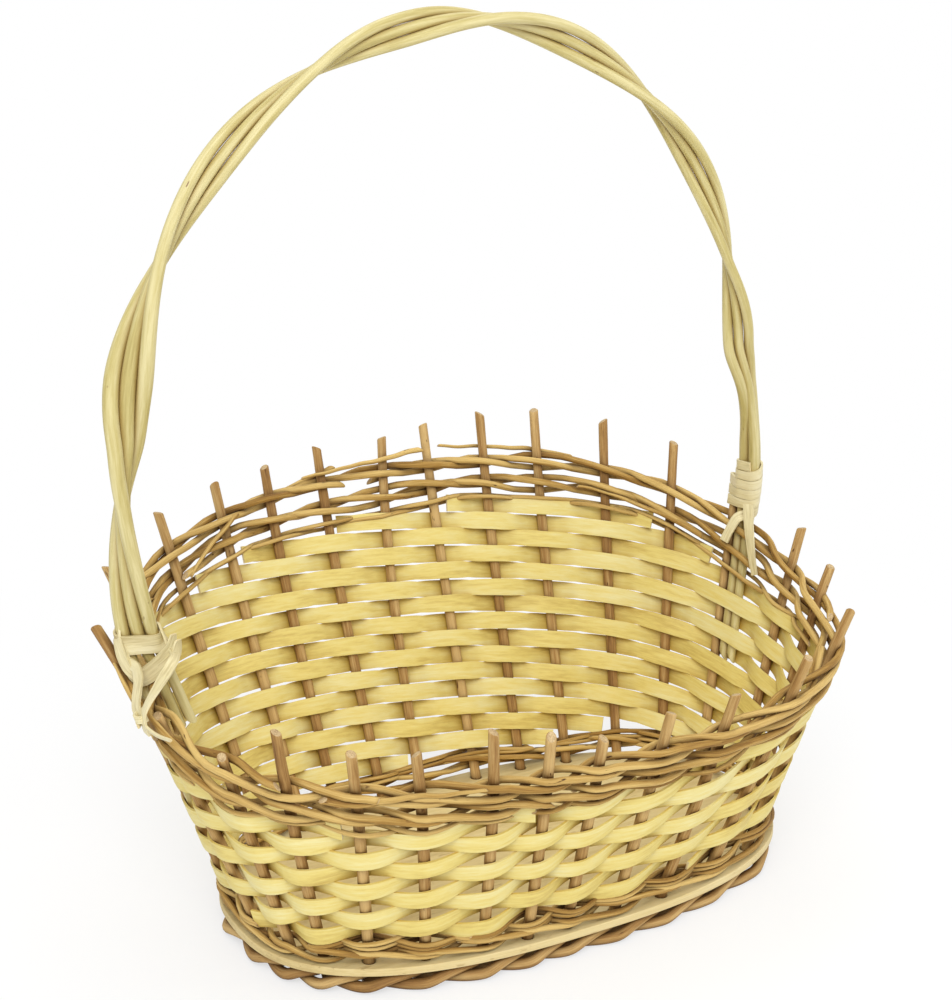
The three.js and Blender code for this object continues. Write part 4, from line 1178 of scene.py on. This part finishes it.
def handle_tail(slot, side):
    """Points of a rod below its seat at a foot, downward; a rod that ends there has none."""
    foot = handle_foot(side)
    seat = seat_of(foot, slot)
    top = foot["rim"]
    if seat < foot["rods"]:
        along = side * seat_distance(seat, HANDLE_FOOT_RADIUS)
        heights = np.linspace(top, top - HANDLE_TAIL_BELOW_RIM, HANDLE_TAIL_STEPS)
        return [beside_stake(foot, along, 0, height)[0] for height in heights]
    if side > 0:
        return []
    beyond = (seat - foot["rods"]) * (2 * HANDLE_FOOT_RADIUS + SEAT_GAP)
    inward = BORDER_OFFSET + BORDER_ROD_RADIUS + SEAT_GAP + HANDLE_FOOT_RADIUS + beyond
    along = -seat_distance(0, HANDLE_FOOT_RADIUS)
    heights = np.linspace(top + BORDER_HALF_HEIGHT, top - INNER_TAIL_BELOW_RIM, INNER_TAIL_STEPS)
    return [beside_stake(foot, along, -inward, height)[0] for height in heights]


def handle_rod_path(slot):
    """Points and radii of one handle rod, from its right end to its left end."""
    line = handle_line()
    shares = lengths_along(line)
    shares = shares / shares[-1]
    axes = path_axes(line)
    points = []
    radii = []
    for i, (centre, axis, share) in enumerate(zip(line, axes, shares)):
        side = 1 if i < len(line) / 2 else -1
        foot = handle_foot(side)
        from_foot = i if side > 0 else len(line) - 1 - i
        gathered = gentle(max(0.0, 1 - from_foot / (LEG_STEPS * HANDLE_GATHER_SHARE)))
        across = unit(ACROSS_BASKET - axis * ACROSS_BASKET.dot(axis))
        inward = np.cross(axis, across)
        turn = band_turn(share)
        foot_radius = HANDLE_FOOT_RADIUS if side > 0 else LEFT_BAND_RADIUS
        radius = mix(np.interp(share, RADIUS_SHARES, HANDLE_RADII), foot_radius, gathered)
        spread = (1 - slot) * (2 * radius + mix(HANDLE_ROD_GAP, SEAT_GAP, gathered))
        offset = across * spread * math.cos(turn) + inward * spread * math.sin(turn)
        bundled = np.clip((BUNDLED_FROM - share) / (BUNDLED_FROM - BUNDLED_TO), 0, 1)
        if bundled > 0:
            seat = seat_distance(1, HANDLE_FOOT_RADIUS)
            _, _, outward, onward = beside_stake(foot, seat, 0, foot["seat_top"])
            offset = mix(offset, bundle_offset(slot, radius, onward, outward), bundled)
        moved_along = np.interp(share, OFF_LINE_SHARES, OFF_LINE_ALONG)
        moved_up = np.interp(share, OFF_LINE_SHARES, OFF_LINE_UP)
        points.append(centre + offset + np.array([moved_along, 0, moved_up]))
        radii.append(radius)
    right = handle_tail(slot, 1)[::-1]
    left = handle_tail(slot, -1)
    radii = [HANDLE_FOOT_RADIUS] * len(right) + radii + [HANDLE_FOOT_RADIUS] * len(left)
    return np.array(right + points + left), np.array(radii)


HANDLE_PATHS = [handle_rod_path(slot) for slot in range(HANDLE_RODS)]


def handle_piece(slot):
    points, radii = HANDLE_PATHS[slot]
    along = lengths_along(points)
    count = int(along[-1] / HANDLE_PATH_STEP)
    places, path = smooth_path(points, along, count, HANDLE_EASING)
    radii = np.interp(places, along, radii) * (1 + wobble(places, *WAVES["handle"]))
    side = np.tile(ACROSS_BASKET, (count, 1))
    return round_rod(f"visual_handle_{slot + 1:02d}", path, side, radii, HANDLE_SIDES,
                     tone("handle"), mirrored_cuts(HANDLE_CUT))


# Lashings


def rod_at_height(foot, slot, height):
    """Middle, radius and axis of a handle rod where it passes a height near a foot."""
    points, radii = HANDLE_PATHS[slot]
    if foot["side"] < 0:
        points = points[::-1]
        radii = radii[::-1]
    i = 0
    while i < LEG_STEPS and points[i + 1][2] < height:
        i += 1
    step = points[i + 1] - points[i]
    part = (height - points[i][2]) / step[2]
    return mix(points[i], points[i + 1], part), mix(radii[i], radii[i + 1], part), unit(step)


def cane_place(foot, turn, height):
    """Place and facing of the cane for a direction round the bundle of rods and stake."""
    bundle = [rod_at_height(foot, slot, height) for slot in range(HANDLE_RODS)]
    middle, _, _, onward = wall_frame(foot["stake"], height)
    axis = bundle[1][2]
    along = unit(onward - axis * axis.dot(onward))
    outward = np.cross(axis, along)
    way = along * math.cos(turn) * foot["side"] + outward * math.sin(turn)
    places = [(piece[0], piece[1]) for piece in bundle]
    if foot["side"] > 0:
        tip = foot["rim"] + TIP_HEIGHTS[foot["stake"]] + CANE_WIDTH / 2
        past_tip = min(max((height - tip) / CANE_PITCH, 0), 1)
        beside = bundle[seat_of(foot, 0)]
        places.append((mix(middle, beside[0], past_tip), mix(STAKE_RADIUS, beside[1], past_tip)))
    point, radius = max(places, key=lambda place: place[0].dot(way) + place[1])
    return point + way * (radius + CANE_SEAT_GAP + CANE_THICKNESS / 2), way


def cane_leg(foot, places):
    """Points and facings of a strip through places given beside the foot's stake."""
    points = []
    faces = []
    side = foot["side"]
    for along, outward, above, facing, upward in places:
        point, up, out, onward = beside_stake(foot, side * along, outward, foot["rim"] + above)
        turn = math.radians(facing)
        face = onward * side * math.cos(turn) + out * math.sin(turn) + up * upward
        points.append(point)
        faces.append(unit(face))
    return points, faces


def cane_turns(foot, turns, first_turn, bottom, pitch):
    """Points and facings of a strip wound round the foot's bundle."""
    points = []
    faces = []
    for i in range(int(turns * CANE_LOOP_STEPS) + 1):
        part = i / CANE_LOOP_STEPS
        point, way = cane_place(foot, first_turn + FULL_TURN * part, bottom + pitch * part)
        points.append(point)
        faces.append(way)
    return points, faces


def cane_piece(name, legs, width=CANE_WIDTH, taper=0.0):
    """Flat strip through points and facings; it narrows towards its far end by the taper."""
    points = np.array([point for leg in legs for point in leg[0]])
    faces = np.array([face for leg in legs for face in leg[1]])
    along = lengths_along(points)
    places, path = smooth_path(points, along, int(along[-1] / CANE_PATH_STEP), CANE_EASING)
    across = np.cross(at_lengths(places, along, faces), path_axes(path))
    widths = width * (1 - taper * places / places[-1]) * (1 + wobble(places, *WAVES["cane"]))
    sections = flat_sections(widths, CANE_THICKNESS, CANE_EDGE)
    return swept(name, path, across, sections, tone("cane"))


def lashing_right_pieces():
    """The strip, which replaces its node, and its loose tail."""
    foot = handle_foot(1)
    bottom = foot["rim"] + BORDER_HALF_HEIGHT + CANE_START_ABOVE_BORDER
    turns = cane_turns(foot, CANE_TURNS_RIGHT, -math.pi / 2, bottom, CANE_PITCH)
    strip = cane_piece("visual_lashing_right", [cane_leg(foot, CANE_RIGHT_LEG), turns])
    tail = cane_piece("visual_lashing_right_tail", [cane_leg(foot, CANE_RIGHT_TAIL)],
                      CANE_RIGHT_TAIL_WIDTH, CANE_RIGHT_TAIL_TAPER)
    return [strip, tail]


def lashing_left_pieces():
    """The strip, which replaces its node, and the sling, the loose tail and the knot."""
    foot = handle_foot(-1)
    bottom = foot["rim"] + BORDER_HALF_HEIGHT + CANE_LEFT_ABOVE_BORDER
    turns = cane_turns(foot, CANE_TURNS_LEFT, math.pi / 2, bottom, CANE_LEFT_PITCH)
    legs = [cane_leg(foot, CANE_LEFT_START), turns, cane_leg(foot, CANE_LEFT_END)]
    pieces = [cane_piece("visual_lashing_left", legs)]
    for k in range(CANE_SLINGS):
        shift = np.multiply(CANE_SLING_STEP, k)
        sling = cane_leg(foot, [np.add(place, shift) for place in CANE_LEFT_SLING])
        pieces.append(cane_piece(f"visual_lashing_left_sling_{k + 1}", [sling]))
    pieces.append(cane_piece("visual_lashing_left_tail", [cane_leg(foot, CANE_LEFT_TAIL)],
                             CANE_LEFT_TAIL_WIDTH, CANE_LEFT_TAIL_TAPER))
    pieces.append(cane_piece("visual_lashing_left_knot", [knot_turns(foot)], KNOT_WIDTH))
    return pieces


def knot_turns(foot):
    """Points and facings of a small overhand knot, a strip turned tightly round its two legs."""
    along, outward, above = KNOT_PLACE
    centre, up, out, onward = beside_stake(foot, -along, outward, foot["rim"] + above)
    points = []
    faces = []
    for part in np.linspace(0, KNOT_TURNS, KNOT_STEPS):
        way = out * math.cos(FULL_TURN * part) + onward * math.sin(FULL_TURN * part)
        points.append(centre + way * KNOT_RADIUS + up * (part - KNOT_TURNS / 2) * KNOT_PITCH)
        faces.append(way)
    return points, faces


# Pieces in their places


placed(board_piece(), "base_board", "board", BOARD_WOOD)
for k in range(STAKE_COUNT):
    placed(stake_piece(k), f"stake_{k + 1:02d}", "willow_stake", STAKE_WOOD, CUT_WOOD)
for k in range(WALE_RODS):
    placed(foot_rod_piece(k), f"foot_rod_{k + 1:02d}", *WILLOW_ROD)
for k, run in enumerate(RUNS):
    placed(splint_piece(k + 1, run), f"splint_{k + 1:02d}", "splint", SPLINT_WOOD, PALE_CUT)
for k in range(BORDER_ROUNDS * WALE_RODS):
    placed(border_piece(k), f"border_rod_{k + 1:02d}", *WILLOW_ROD)
for k in range(HANDLE_RODS):
    placed(handle_piece(k), f"handle_rod_{k + 1:02d}", "peeled_rod", HANDLE_WOOD, PALE_CUT)
lashings = [("lashing_right", lashing_right_pieces()), ("lashing_left", lashing_left_pieces())]
for node, pieces in lashings:
    placed(pieces[0], node, *CANE)
    for piece in pieces[1:]:
        placed(piece, None, *CANE)
place_strands("foot", ROOM_OVER_FOOT, foot_strand_middle, FOOT_STRAND_PLACES)
place_strands("border", ROOM_UNDER_BORDER, border_strand_middle, BORDER_STRAND_PLACES)
for k, end in enumerate(LOOSE_ENDS):
    placed(loose_end(k, *end), None, *WILLOW_ROD)


# Floor, light and camera


def floor_material():
    """Pale matt floor; it shows nearly white, and white away from the basket."""
    n = Nodes(bpy.data.materials.new("floor"))
    place = n.add("ShaderNodeTexCoord").outputs["Object"]
    clouds = n.noise(place, scale=3, detail=2)
    colour = n.ramp(clouds, [(0.3, (0.90, 0.90, 0.90)), (0.7, (0.92, 0.92, 0.92))])
    matt = n.add("ShaderNodeBsdfDiffuse", {"Color": colour}).outputs["BSDF"]
    white = n.add("ShaderNodeEmission", {"Color": WHITE, "Strength": 1.0}).outputs["Emission"]
    distance = n.add("ShaderNodeVectorMath", {0: place}, operation="LENGTH").outputs["Value"]
    inputs = {"Value": distance, "From Min": WHITE_FROM, "From Max": WHITE_TO,
              "To Min": WHITENESS_AT_BASKET, "To Max": 1.0}
    away = n.add("ShaderNodeMapRange", inputs).outputs["Result"]
    whiteness = n.math("MULTIPLY", away, n.seen_directly())
    mixed = n.add("ShaderNodeMixShader", {0: whiteness, 1: matt, 2: white}).outputs["Shader"]
    return n.output("ShaderNodeOutputMaterial", mixed)


def studio_world():
    """Soft even light from all round, behind it a white backdrop."""
    n = Nodes(bpy.data.worlds.new("studio"))
    inputs = {0: n.seen_directly()}
    for slot, strength in ((1, WORLD_LIGHT), (2, 1.0)):
        background = n.add("ShaderNodeBackground", {"Color": WHITE, "Strength": strength})
        inputs[slot] = background.outputs["Background"]
    mixed = n.add("ShaderNodeMixShader", inputs).outputs["Shader"]
    return n.output("ShaderNodeOutputWorld", mixed)


bpy.ops.mesh.primitive_plane_add(size=FLOOR_SIZE, location=(0, 0, FLOOR_HEIGHT))
floor = bpy.context.object
floor.name = "floor"
floor.data.materials.append(floor_material())

bpy.context.scene.world = studio_world()


def area_light(name, place, target, size, power):
    """Square lamp that faces its target."""
    light = bpy.data.lights.new(name, "AREA")
    light.size = size
    light.energy = power
    holder = linked(name, light)
    holder.location = place
    direction = Vector(target) - Vector(place)
    holder.rotation_euler = direction.to_track_quat("-Z", "Y").to_euler()


for lamp in LIGHTS:
    area_light(*lamp)

camera_data = bpy.data.cameras.new("camera")
camera_data.lens = CAMERA_LENS
camera_data.sensor_fit = "VERTICAL"
camera_data.sensor_height = CAMERA_SENSOR
camera = linked("camera", camera_data)
camera.location = (*from_board(CAMERA_FROM_BOARD), CAMERA_HEIGHT * MM)
camera.rotation_euler = (math.pi / 2 - CAMERA_ELEVATION, 0, -CAMERA_AZIMUTH)
bpy.context.scene.camera = camera
bpy.context.scene.view_settings.view_transform = "Standard"
